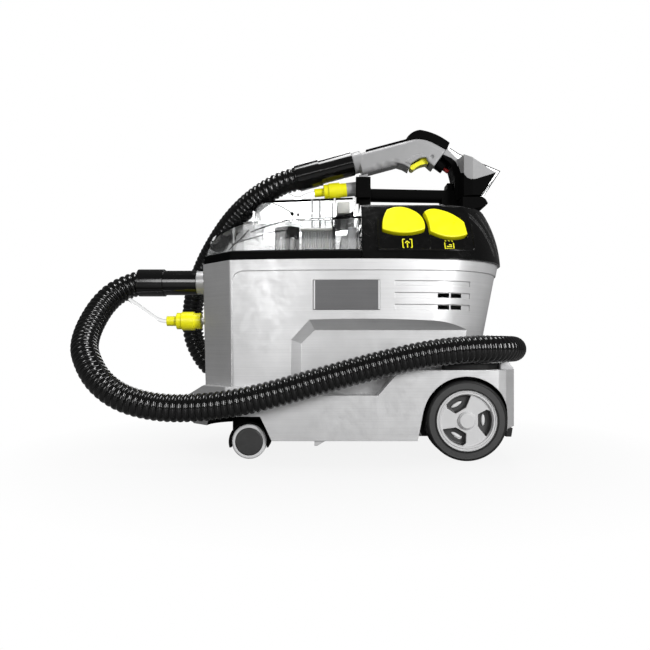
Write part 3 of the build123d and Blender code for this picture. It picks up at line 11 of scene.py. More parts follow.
import bmesh
import bpy
import numpy as np
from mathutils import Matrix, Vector

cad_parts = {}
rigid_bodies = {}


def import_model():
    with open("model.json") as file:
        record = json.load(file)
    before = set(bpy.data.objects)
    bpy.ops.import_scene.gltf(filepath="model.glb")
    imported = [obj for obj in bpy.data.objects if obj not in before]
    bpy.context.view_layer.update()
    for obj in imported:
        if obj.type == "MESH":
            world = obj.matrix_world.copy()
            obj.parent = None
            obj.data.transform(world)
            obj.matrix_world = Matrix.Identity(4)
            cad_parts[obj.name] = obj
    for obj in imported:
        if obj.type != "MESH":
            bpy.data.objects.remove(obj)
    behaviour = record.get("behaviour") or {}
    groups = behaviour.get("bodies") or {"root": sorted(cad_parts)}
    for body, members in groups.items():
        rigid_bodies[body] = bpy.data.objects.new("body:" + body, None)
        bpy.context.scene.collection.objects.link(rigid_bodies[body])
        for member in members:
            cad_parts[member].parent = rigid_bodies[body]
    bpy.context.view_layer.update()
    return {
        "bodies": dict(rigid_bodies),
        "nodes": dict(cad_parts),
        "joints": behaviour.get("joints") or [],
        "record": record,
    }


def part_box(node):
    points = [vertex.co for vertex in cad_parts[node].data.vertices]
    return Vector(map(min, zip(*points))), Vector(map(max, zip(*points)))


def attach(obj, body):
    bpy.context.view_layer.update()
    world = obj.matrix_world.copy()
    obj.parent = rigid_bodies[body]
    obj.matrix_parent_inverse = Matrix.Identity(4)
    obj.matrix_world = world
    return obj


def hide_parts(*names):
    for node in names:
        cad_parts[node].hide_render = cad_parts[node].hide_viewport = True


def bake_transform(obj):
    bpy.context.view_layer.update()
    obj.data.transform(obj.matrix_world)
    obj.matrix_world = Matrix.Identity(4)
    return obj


LOG = logging.getLogger("carpet_cleaner")
IMAGE_SIDE = 650

Point = tuple[float, float, float]
Pair = tuple[float, float]
Outline = tuple[Pair, ...]
Colour = tuple[float, float, float, float]
Piece = bpy.types.Object
Socket = bpy.types.NodeSocket

MM = 0.001
SIDES = ((-1, "left"), (1, "right"))


def grey(level: float, blue: float = 0.0) -> Colour:
    """A neutral colour of that level, with a little blue added if asked."""
    return (level, level, level + blue, 1.0)


def scaled(colour: Colour, share: float) -> Colour:
    """A colour made darker or paler by a share."""
    return tuple(min(1.0, part * share) for part in colour[:3]) + (1.0,)


# -------- node helpers


class Sheet:
    """Adds nodes to one node tree and joins them."""

    def __init__(self, tree: bpy.types.NodeTree) -> None:
        """Keep the tree that nodes are added to.

        Args:
            tree: The material's or group's node tree.
        """
        self.tree = tree

    def add(self, kind: str, values: dict | None = None, **settings: object) -> bpy.types.Node:
        """Add one node.

        Args:
            kind: The node's Blender type, without ShaderNode in front.
            values: Input socket names or numbers, each with its value or the socket joined to it.
            settings: Properties of the node itself.

        Returns:
            The new node.
        """
        node = self.tree.nodes.new("ShaderNode" + kind)
        for name, value in settings.items():
            setattr(node, name, value)
        self.feed(node, values or {})
        return node

    def feed(self, node: bpy.types.Node, values: dict) -> None:
        """Set inputs of a node, or join sockets to them."""
        for name, value in values.items():
            if isinstance(value, Socket):
                self.join(value, node.inputs[name])
            else:
                node.inputs[name].default_value = value

    def join(self, source: Socket, target: Socket) -> None:
        """Link one output to one input."""
        self.tree.links.new(source, target)

    def place(self) -> Socket:
        """The place on the object that is shaded, in metres."""
        return self.add("TexCoord").outputs["Object"]

    def stretch(self, source: Socket, limits: dict[str, float]) -> Socket:
        """Map a value from one range to another, by the limits that aren't 0 or 1."""
        return self.add("MapRange", {"Value": source, **limits}).outputs["Result"]

    def mix(self, share: Socket, under: Colour | Socket, over: Colour) -> Socket:
        """Mix one colour over another.

        Args:
            share: How much of the upper colour shows.
            under: The lower colour, or the socket that it comes from.
            over: The upper colour.

        Returns:
            The mixed colour.
        """
        return self.add("Mix", {0: share, 6: under, 7: over}, data_type="RGBA").outputs[2]


# Level streaks: how much finer they are up the machine than along it
STREAK_SCALE: Point = (7.0, 7.0, 520.0)
# In metres: soft border of a coloured zone, and height of the moulding grain
ZONE_RAMP = 0.0004
GRAIN_HEIGHT = 0.0004


class Effects:
    """The shader groups that several finishes share, each built once."""

    def __init__(self) -> None:
        """Build the groups."""
        self.grain = self._grain()
        self.edges = self._edges()
        self.streaks = self._streaks()
        self.wheel_zone = self._zone(upright=False)
        self.swivel_zone = self._zone(upright=True)

    @staticmethod
    def _group(name: str, inputs: dict[str, float], outputs: dict[str, str]) -> tuple[Sheet, dict, dict]:
        """Open an empty group.

        Args:
            name: The group's name.
            inputs: Names and default values of its number inputs.
            outputs: Names and socket types of its outputs.

        Returns:
            The sheet of the group, its inputs and its outputs by name.
        """
        tree = bpy.data.node_groups.new(name, "ShaderNodeTree")
        for label, value in inputs.items():
            socket = tree.interface.new_socket(label, in_out="INPUT", socket_type="NodeSocketFloat")
            socket.default_value = value
        for label, kind in outputs.items():
            tree.interface.new_socket(label, in_out="OUTPUT", socket_type=kind)
        sheet = Sheet(tree)
        start, end = tree.nodes.new("NodeGroupInput"), tree.nodes.new("NodeGroupOutput")
        return sheet, {s.name: s for s in start.outputs}, {s.name: s for s in end.inputs}

    def _grain(self) -> bpy.types.NodeTree:
        """Fine moulding grain, with a slow drift of tone and of polish."""
        outputs = dict.fromkeys(("Height", "Drift", "Polish"), "NodeSocketFloat")
        sheet, _, out = self._group("moulding_grain", {}, outputs)
        place = sheet.place()
        noises = (
            ("Height", {"Scale": 900.0, "Detail": 3.0, "Roughness": 0.6}, None),
            ("Drift", {"Scale": 14.0, "Detail": 4.0, "Roughness": 0.55}, (0.36, 0.64)),
            ("Polish", {"Scale": 65.0, "Detail": 5.0, "Roughness": 0.7, "Distortion": 0.6}, (0.34, 0.66)),
        )
        for label, values, spread in noises:
            level = sheet.add("TexNoise", {"Vector": place, **values}).outputs["Fac"]
            if spread:
                level = sheet.stretch(level, {"From Min": spread[0], "From Max": spread[1]})
            sheet.join(level, out[label])
        return sheet.tree

    def _edges(self) -> bpy.types.NodeTree:
        """Softened edges, and a mask of the rubbed arris along them."""
        outputs = {"Normal": "NodeSocketVector", "Arris": "NodeSocketFloat"}
        sheet, given, out = self._group("softened_edges", {"Radius": 0.001}, outputs)
        soft = sheet.add("Bevel", {"Radius": given["Radius"]}, samples=6).outputs["Normal"]
        true = sheet.add("NewGeometry").outputs["Normal"]
        facing = sheet.add("VectorMath", {0: soft, 1: true}, operation="DOT_PRODUCT")
        arris = sheet.stretch(facing.outputs["Value"], {"From Min": 0.985, "From Max": 0.80})
        sheet.join(soft, out["Normal"])
        sheet.join(arris, out["Arris"])
        return sheet.tree

    def _streaks(self) -> bpy.types.NodeTree:
        """Fine level streaks, as in a silver lacquer."""
        sheet, _, out = self._group("lacquer_streaks", {}, {"Streak": "NodeSocketFloat"})
        drawn = sheet.add("Mapping", {"Vector": sheet.place(), "Scale": STREAK_SCALE}).outputs["Vector"]
        values = {"Vector": drawn, "Scale": 1.0, "Detail": 5.0, "Roughness": 0.65}
        noise = sheet.add("TexNoise", values)
        sheet.join(sheet.stretch(noise.outputs["Fac"], {"From Min": 0.3, "From Max": 0.7}), out["Streak"])
        return sheet.tree

    def _zone(self, upright: bool) -> bpy.types.NodeTree:
        """A round zone, the same on both sides of the machine.

        Args:
            upright: Whether the zone's axis stands upright, and doesn't lie across.

        Returns:
            The group, which gives a mask of the zone.
        """
        sheet, given, out = self._group(
            "swivel_zone" if upright else "wheel_zone",
            {"Along": 0.0, "Beside": 0.0, "Radius": 0.05, "Taper": 0.0, "Low": 0.0, "High": 1.0},
            {"Mask": "NodeSocketFloat"},
        )

        def solve(operation: str, *terms: Socket) -> Socket:
            """Join sockets in one sum."""
            return sheet.add("Math", dict(enumerate(terms)), operation=operation).outputs[0]

        def edge(distance: Socket) -> Socket:
            """A narrow ramp from outside to inside."""
            return sheet.stretch(distance, {"From Max": ZONE_RAMP})

        split = sheet.add("SeparateXYZ", {0: sheet.place()})
        aside = solve("ABSOLUTE", split.outputs["Y"])
        beside, height = (aside, split.outputs["Z"]) if upright else (split.outputs["Z"], aside)
        along = solve("SUBTRACT", split.outputs["X"], given["Along"])
        apart = solve("SUBTRACT", beside, given["Beside"])
        offset = sheet.add("CombineXYZ", {"X": along, "Y": apart})
        length = sheet.add("VectorMath", {0: offset.outputs[0]}, operation="LENGTH")
        reach = solve("SUBTRACT", given["Radius"], solve("MULTIPLY", height, given["Taper"]))
        within = edge(solve("SUBTRACT", reach, length.outputs["Value"]))
        above = edge(solve("SUBTRACT", height, given["Low"]))
        below = edge(solve("SUBTRACT", given["High"], height))
        sheet.join(solve("MINIMUM", within, solve("MINIMUM", above, below)), out["Mask"])
        return sheet.tree


# -------- finishes


def open_material(name: str) -> tuple[bpy.types.Material, Sheet, bpy.types.Node]:
    """Make a material, and give it with its sheet and its Principled shader."""
    material = bpy.data.materials.new(name)
    material.use_nodes = True
    return material, Sheet(material.node_tree), material.node_tree.nodes["Principled BSDF"]


@dataclass(frozen=True)
class Zone:
    """A round part of a moulding painted in another colour, in metres; here mostly painted shade in recesses
    and along edges.
    """

    colour: Colour
    centre: Pair
    radius: float
    low: float = 0.0
    high: float = 1.0
    upright: bool = False
    taper: float = 0.0

    def paint(self, sheet: Sheet, effects: Effects, under: Socket) -> Socket:
        """Mix the zone's colour over another.

        Args:
            sheet: The material's sheet.
            effects: The shared shader groups.
            under: The colour outside the zone.

        Returns:
            The mixed colour.
        """
        tree = effects.swivel_zone if self.upright else effects.wheel_zone
        mask = sheet.add("Group", node_tree=tree)
        values = (*self.centre, self.radius, self.taper, self.low, self.high)
        for socket, value in zip(mask.inputs, values):
            socket.default_value = value
        return sheet.mix(mask.outputs["Mask"], under, self.colour)


@dataclass(frozen=True)
class Finish:
    """What every finish has: the name of its slot and its main colour."""

    name: str
    colour: Colour

    def make(self, effects: Effects) -> bpy.types.Material:
        """Build the material.

        Args:
            effects: The shared shader groups.

        Returns:
            The new material.
        """
        material, sheet, shader = open_material(self.name)
        grain = sheet.add("Group", node_tree=effects.grain)
        sheet.feed(shader, self._look(sheet, grain.outputs, effects))
        return material


@dataclass(frozen=True)
class Moulding(Finish):
    """A moulded plastic or rubber, with grain, drift of tone and rubbed edges."""

    roughness: float
    arris: Colour
    drift: float = 0.06
    polish: float = 0.08
    grain_depth: float = 0.06
    rub: float = 0.35
    soften: float = 0.0012
    specular: float = 0.5
    streak: float = 0.0
    metallic: float = 0.0
    zones: tuple[Zone, ...] = ()

    def _look(self, sheet: Sheet, grain: bpy.types.NodeOutputs, effects: Effects) -> dict:
        """The shader's inputs."""
        edges = sheet.add("Group", {"Radius": self.soften}, node_tree=effects.edges).outputs
        deep, pale = scaled(self.colour, 1 - self.drift), scaled(self.colour, 1 + self.drift / 2)
        paint = sheet.mix(grain["Drift"], deep, pale)
        if self.streak:
            streaks = sheet.add("Group", node_tree=effects.streaks).outputs["Streak"]
            level = sheet.stretch(streaks, {"To Min": 1.0 - self.streak})
            paint = sheet.add("VectorMath", {0: paint, "Scale": level}, operation="SCALE").outputs[0]
        rubbed = sheet.add("Math", {0: edges["Arris"], 1: self.rub}, operation="MULTIPLY")
        paint = sheet.mix(rubbed.outputs[0], paint, self.arris)
        for zone in self.zones:
            paint = zone.paint(sheet, effects, paint)
        gloss = {"To Min": max(0.02, self.roughness - self.polish), "To Max": self.roughness + self.polish}
        relief = {"Strength": self.grain_depth, "Distance": GRAIN_HEIGHT}
        bump = sheet.add("Bump", {"Height": grain["Height"], "Normal": edges["Normal"], **relief})
        return {
            "Base Color": paint,
            "Roughness": sheet.stretch(grain["Polish"], gloss),
            "Normal": bump.outputs["Normal"],
            "Specular IOR Level": self.specular,
            "Metallic": self.metallic,
        }


@dataclass(frozen=True)
class ClearPlastic(Finish):
    """A see-through moulding, faintly tinted, with slight haze; towards grazing angles its colour turns
    dark, partly real absorption along the longer path, partly painted reflection of dark surroundings.
    """

    # Colour towards grazing angles: painted reflection of dark surroundings, with some real absorption
    edge: Colour
    haze: float = 0.03
    index: float = 1.49
    ageing: float = 0.985
    grazing_shade_share: float = 0.42
    gloss: Pair = (0.5, 1.6)

    def _look(self, sheet: Sheet, grain: bpy.types.NodeOutputs, effects: Effects) -> dict:
        """The shader's inputs."""
        tone = sheet.mix(grain["Drift"], self.colour, scaled(self.colour, self.ageing))
        turned = sheet.add("LayerWeight", {"Blend": self.grazing_shade_share}).outputs["Facing"]
        gloss = {"To Min": self.haze * self.gloss[0], "To Max": self.haze * self.gloss[1]}
        return {
            "Base Color": sheet.mix(turned, tone, self.edge),
            "Roughness": sheet.stretch(grain["Polish"], gloss),
            "Transmission Weight": 1.0,
            "IOR": self.index,
        }


@dataclass(frozen=True)
class Metal(Finish):
    """A turned or drawn metal with fine scratches."""

    roughness: float
    tarnish: float = 0.85
    gloss: Pair = (0.7, 1.4)

    def _look(self, sheet: Sheet, grain: bpy.types.NodeOutputs, effects: Effects) -> dict:
        """The shader's inputs."""
        gloss = {"To Min": self.roughness * self.gloss[0], "To Max": self.roughness * self.gloss[1]}
        return {
            "Base Color": sheet.mix(grain["Drift"], self.colour, scaled(self.colour, self.tarnish)),
            "Roughness": sheet.stretch(grain["Polish"], gloss),
            "Metallic": 1.0,
        }


REAR_WHEEL: Pair = (0.170, 0.057)
CASTER_SWIVEL: Pair = (-0.153, 0.128)
HOUSING_SHADE_ZONES = (
    # Painted shade, near black, in the wheel arches and in the casters' cups
    Zone(grey(0.004), REAR_WHEEL, 0.0625, low=0.05, high=0.1592),
    Zone(grey(0.004), CASTER_SWIVEL, 0.0677, low=-0.01, high=0.0626, upright=True, taper=0.368),
)
TYRE_EDGE_SHADE_ZONES = (
    # The tyre's face in dark grey; the tread outside it and a ring at its inner edge stay near black,
    # painted shade along both edges
    Zone(grey(0.048), REAR_WHEEL, 0.0537),
    Zone(grey(0.006), REAR_WHEEL, 0.0452),
)
RIM_SHADE_ZONES = (
    # Painted shade in the pockets between the spokes
    Zone(grey(0.045), REAR_WHEEL, 0.0374, low=0.05, high=0.1588),
    # Shadow line round the hub cap
    Zone(grey(0.03), REAR_WHEEL, 0.0125, low=0.05, high=0.1602),
)


class Slot(Enum):
    """The record's material slots, each with the finish that dresses it."""

    HOUSING = Moulding(
        "housing_grey", grey(0.66, 0.004), 0.42, grey(0.8), streak=0.10, metallic=0.4, zones=HOUSING_SHADE_ZONES
    )
    BADGE = Moulding("badge_grey", grey(0.12, 0.003), 0.38, grey(0.3), soften=0.0004, streak=0.15)
    BLACK = Moulding("black_plastic", grey(0.005), 0.6, grey(0.015), specular=0.004)
    COVER = Moulding("black_cover", grey(0.003), 0.22, grey(0.03), grain_depth=0.04, specular=0.22)
    YELLOW = Moulding("yellow_plastic", (0.95, 0.90, 0.005, 1), 0.34, (1, 0.95, 0.12, 1))
    NOZZLE = Moulding("nozzle_grey", grey(0.33, 0.004), 0.42, grey(0.48))
    RED = Moulding("red_plastic", (0.45, 0.012, 0.01, 1), 0.35, (0.8, 0.1, 0.08, 1))
    # The second colour of each clear finish is painted reflection of dark surroundings at grazing angles
    CLEAR = ClearPlastic("clear_plastic", (0.88, 0.885, 0.885, 1), (0.14, 0.145, 0.145, 1), index=1.3)
    LINE = ClearPlastic("clear_line", (0.95, 0.955, 0.955, 1), grey(0.04), haze=0.05, index=1.18)
    TANK = Moulding("tank_plastic", (0.76, 0.75, 0.70, 1), 0.45, grey(0.85))
    FILTER = Moulding("filter_plastic", grey(0.5, 0.008), 0.45, grey(0.65))
    HOSE = Moulding("hose_black", grey(0.003), 0.13, grey(0.02), rub=0.2, soften=0.0003, polish=0.04)
    RUBBER = Moulding("rubber", grey(0.012), 0.62, grey(0.06), grain_depth=0.2, specular=0.3)
    TYRE = Moulding(
        "tyre_rubber", grey(0.008), 0.5, grey(0.03), grain_depth=0.15, specular=0.3, zones=TYRE_EDGE_SHADE_ZONES
    )
    RIM = Moulding("rim_grey", grey(0.58, 0.004), 0.36, grey(0.85), zones=RIM_SHADE_ZONES)
    CASTER_RING = Moulding("caster_ring", grey(0.68, 0.005), 0.4, grey(0.8))
    CASTER_DISC = Moulding("caster_disc", grey(0.03), 0.42, grey(0.08))
    STEEL = Metal("steel", grey(0.58), 0.28)
    ALUMINIUM = Metal("aluminium", grey(0.8), 0.34)

    @property
    def label(self) -> str:
        """The slot's name in the record."""
        return self.value.name


class Wardrobe:
    """Makes each slot's material once and hands it out."""

    def __init__(self) -> None:
        """Build the shared effects and every finish."""
        effects = Effects()
        self.materials = {slot.label: slot.value.make(effects) for slot in Slot}

    def dress(self, piece: Piece, slot: Slot) -> None:
        """Put a slot's finish on a new piece."""
        piece.data.materials.clear()
        piece.data.materials.append(self.materials[slot.label])

    def dress_nodes(self, frame: dict) -> None:
        """Put the finishes on all CAD nodes, by the record's slots.

        Args:
            frame: The loaded frame.
        """
        for part in frame["record"]["subparts"]:
            node = frame["nodes"][part["node"]]
            material = self.materials[part["material_slot"]]
            for holder in node.material_slots:
                holder.material = material


# -------- cords


@dataclass
class Cord:
    """One free tube on a smooth line through its route's control points."""

    name: str
    route: tuple[Point, ...]
    radius: float
    step: float
    sides: int

    def line(self) -> np.ndarray:
        """Read points from the route's smooth spline, spaced evenly.

        Returns:
            Points in metres, one row each.
        """
        curve = bpy.data.curves.new(self.name + "_line", "CURVE")
        curve.dimensions = "3D"
        curve.resolution_u = 24
        spline = curve.splines.new("NURBS")
        spline.points.add(len(self.route) - 1)
        for control, place in zip(spline.points, self.route):
            control.co = (*place, 1.0)
        spline.order_u = 3
        spline.use_endpoint_u = True
        holder = bpy.data.objects.new(self.name + "_line", curve)
        bpy.context.collection.objects.link(holder)
        bpy.context.view_layer.update()
        mesh = bpy.data.meshes.new_from_object(holder)
        points = np.array([vertex.co[:] for vertex in mesh.vertices])
        bpy.data.objects.remove(holder)
        bpy.data.meshes.remove(mesh)
        bpy.data.curves.remove(curve)
        along = np.concatenate([[0.0], np.cumsum(np.linalg.norm(np.diff(points, axis=0), axis=1))])
        count = max(8, int(round(along[-1] / self.step)))
        even = np.linspace(0.0, along[-1], count + 1)
        return np.column_stack([np.interp(even, along, points[:, axis]) for axis in range(3)])

    def profile(self, count: int) -> np.ndarray:
        """Radius at each point of the line."""
        return np.full(count, self.radius)

    def build(self) -> tuple[Piece, np.ndarray]:
        """Sweep rings along the line into a closed tube.

        Returns:
            The tube's object and the line it follows.
        """
        points = self.line()
        radii = self.profile(len(points))
        tangents = np.gradient(points, axis=0)
        tangents /= np.linalg.norm(tangents, axis=1)[:, None]
        side = np.cross(tangents[0], (0.0, 0.0, 1.0))
        side /= np.linalg.norm(side)
        turns = np.linspace(0.0, 2 * math.pi, self.sides, endpoint=False)
        rings = []
        for place, tangent, radius in zip(points, tangents, radii):
            side = side - tangent * side.dot(tangent)
            side /= np.linalg.norm(side)
            across = np.cross(tangent, side)
            ring = np.outer(np.cos(turns), side) + np.outer(np.sin(turns), across)
            rings.append((place + radius * ring).tolist())
        tube = Forge.loft(self.name, rings)
        tube.data.polygons.foreach_set("use_smooth", [True] * len(tube.data.polygons))
        tube.data.update()
        return tube, points

    def declare(self, tube: Piece, points: np.ndarray, end: str, fitting: Piece) -> None:
        """Args:
            tube: The tube's object. Not used.
            points: The line it follows. Not used.
            end: What is on its far end. Not used.
            fitting: The piece on it. Not used.
        """


@dataclass
class RibbedHose(Cord):
    """A hose with rounded ribs all along it."""

    pitch: float
    depth: float = 0.0027
    crest: float = 0.7

    def profile(self, count: int) -> np.ndarray:
        """Radius at each point: round crests with narrow valleys between them."""
        phase = np.arange(count) * self.step / self.pitch * math.pi
        return self.radius - self.depth * (1.0 - np.abs(np.sin(phase)) ** self.crest)


@dataclass
class HoseSet:
    """The suction hose and the spray line that enters and leaves it."""

    hose_radius: float = 0.0195
    rib_pitch: float = 0.0087
    rib_steps: int = 10
    hose_sides: int = 28
    line_radius: float = 0.003
    line_step: float = 0.0015
    line_sides: int = 20
    low: Point = (-0.25, 0.10, 0.32)
    high: Point = (-0.23, 0.10, 0.44)

    def build(self, frame: dict, wardrobe: Wardrobe) -> None:
        """Lay the three tubes where their CAD solids are.

        Args:
            frame: The loaded frame.
            wardrobe: The finishes.
        """
        line = (self.line_radius, self.line_step, self.line_sides)
        hose = RibbedHose(
            "hose_tube",
            HOSE_ROUTE,
            self.hose_radius,
            self.rib_pitch / self.rib_steps,
            self.hose_sides,
            self.rib_pitch,
        )
        machine_line = Cord("machine_line_tube", MACHINE_LINE_ROUTE, *line)
        nozzle_line = Cord("nozzle_line_tube", NOZZLE_LINE_ROUTE, *line)
        runs = (
            (hose, Slot.HOSE, "suction_hose", "tool", "nozzle_cuff", True),
            (machine_line, Slot.LINE, "machine_spray_line", "fitting", "machine_coupling", False),
            (nozzle_line, Slot.LINE, "nozzle_spray_line", "fitting", "nozzle_coupling", True),
        )
        for cord, slot, solid, end, fitting, lifted in runs:
            tube, points = cord.build()
            wardrobe.dress(tube, slot)
            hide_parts(solid)
            if lifted:
                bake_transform(tube)
            else:
                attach(tube, "machine")
            cord.declare(tube, points, end, frame["nodes"][fitting])


HOSE_ROUTE: tuple[Point, ...] = (
    (-0.329, -0.040, 0.2644),
    (-0.358, -0.047, 0.254),
    (-0.379, -0.066, 0.228),
    (-0.387, -0.098, 0.192),
    (-0.384, -0.126, 0.165),
    (-0.372, -0.150, 0.146),
    (-0.350, -0.168, 0.116),
    (-0.318, -0.178, 0.093),
    (-0.278, -0.182, 0.080),
    (-0.229, -0.183, 0.0755),
    (-0.160, -0.184, 0.082),
    (-0.098, -0.183, 0.0965),
    (-0.030, -0.178, 0.116),
    (0.040, -0.174, 0.135),
    (0.110, -0.172, 0.151),
    (0.172, -0.164, 0.158),
    (0.227, -0.138, 0.1585),
    (0.262, -0.086, 0.158),
    (0.272, -0.028, 0.1575),
    (0.272, 0.028, 0.1575),
    (0.262, 0.086, 0.158),
    (0.227, 0.138, 0.1585),
    (0.172, 0.164, 0.157),
    (0.110, 0.173, 0.150),
    (0.040, 0.175, 0.134),
    (-0.030, 0.178, 0.115),
    (-0.098, 0.182, 0.098),
    (-0.160, 0.181, 0.090),
    (-0.216, 0.175, 0.096),
    (-0.258, 0.164, 0.124),
    (-0.282, 0.153, 0.168),
    (-0.287, 0.148, 0.212),
    (-0.278, 0.134, 0.262),
    (-0.254, 0.108, 0.312),
    (-0.222, 0.078, 0.355),
    (-0.189, 0.048, 0.388),
    (-0.156, 0.024, 0.411),
    (-0.126, 0.007, 0.426),
    (-0.09824, 0.0, 0.43814),
    (-0.07699, 0.0, 0.44383),
)
MACHINE_LINE_ROUTE: tuple[Point, ...] = (
    (-0.3475, -0.051, 0.2405),
    (-0.327, -0.055, 0.228),
    (-0.306, -0.059, 0.2125),
    (-0.290, -0.060, 0.202),
    (-0.27895, -0.060, 0.202),
)
NOZZLE_LINE_ROUTE: tuple[Point, ...] = (
    (-0.171, 0.044, 0.4165),
    (-0.157, 0.035, 0.434),
    (-0.138, 0.024, 0.4445),
    (-0.114, 0.032, 0.437),
    (-0.092, 0.024, 0.421),
    (-0.074, 0.008, 0.4115),
    (-0.05755, 0.0, 0.41846),
    (-0.0476, 0.0, 0.4195),
)


# -------- new pieces


@dataclass(frozen=True)
class Seat:
    """A flat place that pieces are built on, in millimetres; they rise along its normal."""

    origin: Point
    across: Point
    up: Point

    def at(self, u: float, v: float, height: float) -> Vector:
        """A point over the seat, in metres."""
        side, rise = Vector(self.across).normalized(), Vector(self.up).normalized()
        return (Vector(self.origin) + side * u + rise * v + side.cross(rise) * height) * MM


FLAT = Seat((0, 0, 0), (1, 0, 0), (0, 1, 0))
# Edges that turn by more degrees than this are rounded
SOFTENED_FROM = 28.0
# Clear of either side of the machine, in millimetres
OUTSIDE = 400.0


class Forge:
    """Builds the meshes of new pieces and finishes them."""

    @staticmethod
    def hold(piece: Piece) -> None:
        """Make one piece the only selected and the active one."""
        bpy.ops.object.select_all(action="DESELECT")
        piece.select_set(True)
        bpy.context.view_layer.objects.active = piece

    @staticmethod
    def shade(piece: Piece, sharp: float = 35.0) -> None:
        """Shade a piece smooth, apart from edges sharper than an angle in degrees."""
        Forge.hold(piece)
        bpy.ops.object.shade_smooth_by_angle(angle=math.radians(sharp))

    @staticmethod
    def modify(piece: Piece, kind: str, **settings: object) -> None:
        """Add one modifier to a piece and apply it.

        Args:
            piece: The piece.
            kind: The modifier's Blender type.
            settings: Properties of the modifier.
        """
        Forge.hold(piece)
        step = piece.modifiers.new(kind.lower(), kind)
        for name, value in settings.items():
            setattr(step, name, value)
        bpy.ops.object.modifier_apply(modifier=step.name)

    @staticmethod
    def loft(name: str, rings: list) -> Piece:
        """Join rings of as many points each into a closed skin.

        Args:
            name: The piece's name.
            rings: The rings in order, in metres.

        Returns:
            The new object.
        """
        count = len(rings[0])
        faces: list[tuple[int, ...]] = [tuple(range(count))]
        for row in range(len(rings) - 1):
            for k in range(count):
                here, beside = row * count + k, row * count + (k + 1) % count
                faces.append((here, beside, beside + count, here + count))
        faces.append(tuple(range((len(rings) - 1) * count, len(rings) * count)))
        mesh = bpy.data.meshes.new(name)
        mesh.from_pydata([point[:] for ring in rings for point in ring], [], faces)
        shape = bmesh.new()
        shape.from_mesh(mesh)
        bmesh.ops.recalc_face_normals(shape, faces=shape.faces)
        shape.to_mesh(mesh)
        shape.free()
        piece = bpy.data.objects.new(name, mesh)
        bpy.context.collection.objects.link(piece)
        return piece

    @staticmethod
    def boss(name: str, long: Vector, wide: Vector, stages: list, sides: int) -> Piece:
        """A round or oval boss, in millimetres.

        Args:
            name: The piece's name.
            long: Half its length, with its direction.
            wide: Half its width, with its direction.
            stages: The centre of each ring and its share of the full size.
            sides: How many points a ring has.

        Returns:
            The new object.
        """
        turns = np.linspace(0, 2 * math.pi, sides, endpoint=False)
        rings = [
            [(centre + (long * math.cos(turn) + wide * math.sin(turn)) * share) * MM for turn in turns]
            for centre, share in stages
        ]
        piece = Forge.loft(name, rings)
        Forge.shade(piece)
        return piece

    @staticmethod
    def slab(
        name: str, seat: Seat, outline: list | Outline, low: float, high: float, soft: float
    ) -> Piece:
        """A plate of any outline, with rounded edges.

        Args:
            name: The piece's name.
            seat: The place it is built on.
            outline: Its outline on the seat, in millimetres.
            low: Height of its foot over the seat.
            high: Height of its top over the seat.
            soft: Width of the rounding.

        Returns:
            The new object.
        """
        rings = [[seat.at(u, v, height) for u, v in outline] for height in (low, high)]
        piece = Forge.loft(name, rings)
        corner = math.radians(SOFTENED_FROM)
        Forge.modify(piece, "BEVEL", width=soft * MM, segments=3, limit_method="ANGLE", angle_limit=corner)
        Forge.shade(piece)
        return piece

    @staticmethod
    def block(name: str, low: Point, high: Point, soft: float) -> Piece:
        """A block with rounded edges between two corners, in millimetres."""
        outline = ((low[0], low[1]), (high[0], low[1]), (high[0], high[1]), (low[0], high[1]))
        return Forge.slab(name, FLAT, outline, low[2], high[2], soft)

    @staticmethod
    def join(name: str, pieces: list[Piece]) -> Piece:
        """Make several pieces one."""
        bpy.ops.object.select_all(action="DESELECT")
        for piece in pieces:
            piece.select_set(True)
        bpy.context.view_layer.objects.active = pieces[0]
        bpy.ops.object.join()
        pieces[0].name = name
        return pieces[0]


@dataclass(frozen=True)
class Bead:
    """A thin moulded bead that follows a line over a CAD surface, in millimetres."""

    node: str
    line: Outline
    width: float
    rise: float
    side: int = -1
    sink: float = 0.4
    step: float = 2.0

    def build(self, name: str, frame: dict) -> Piece:
        """Lay the bead on its surface.

        Args:
            name: The piece's name.
            frame: The loaded frame.

        Returns:
            The new object.
        """
        surface = frame["nodes"][self.node]
        places, normals = [], []
        for x, z in self._stations():
            start = Vector((x, self.side * OUTSIDE, z)) * MM
            found, place, normal, _ = surface.ray_cast(start, Vector((0, -self.side, 0)))
            if found:
                places.append(place.copy())
                normals.append(normal.copy())
        rings = []
        for k, (place, normal) in enumerate(zip(places, normals)):
            ahead, behind = places[min(k + 1, len(places) - 1)], places[max(k - 1, 0)]
            across = (ahead - behind).cross(normal).normalized()
            across *= self.width / 2
            rings.append([place + (across * u + normal * h) * MM for u, h in self._profile()])
        piece = Forge.loft(name, rings)
        Forge.shade(piece, sharp=50.0)
        return piece

    def _profile(self) -> Outline:
        """Half-round section: place across the bead and height over the surface."""
        half = ((-1, -self.sink), (-1, 0.2 * self.rise), (-0.55, 0.8 * self.rise))
        return (*half, (0, self.rise), *((-u, height) for u, height in half[::-1]))

    def _stations(self) -> list[Pair]:
        """Evenly spaced points along the line."""
        points = [self.line[0]]
        for (x0, z0), (x1, z1) in zip(self.line, self.line[1:]):
            count = max(1, round(math.hypot(x1 - x0, z1 - z0) / self.step))
            points += [(x0 + (x1 - x0) * n / count, z0 + (z1 - z0) * n / count) for n in range(1, count + 1)]
        return points


@dataclass
class Machine:
    """Everything that new pieces of the machine need: the frame and the finishes."""

    frame: dict
    wardrobe: Wardrobe

    def lay(self, bead: Bead, name: str, slot: Slot) -> None:
        """Build a bead on the machine and give it its finish."""
        self.mount(bead.build(name, self.frame), slot)

    def mount(self, piece: Piece, slot: Slot, body: str = "machine") -> None:
        """Give a piece its finish and the body that it rides on."""
        self.wardrobe.dress(piece, slot)
        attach(piece, body)
        LOG.info("%s rides on %s", piece.name, body)


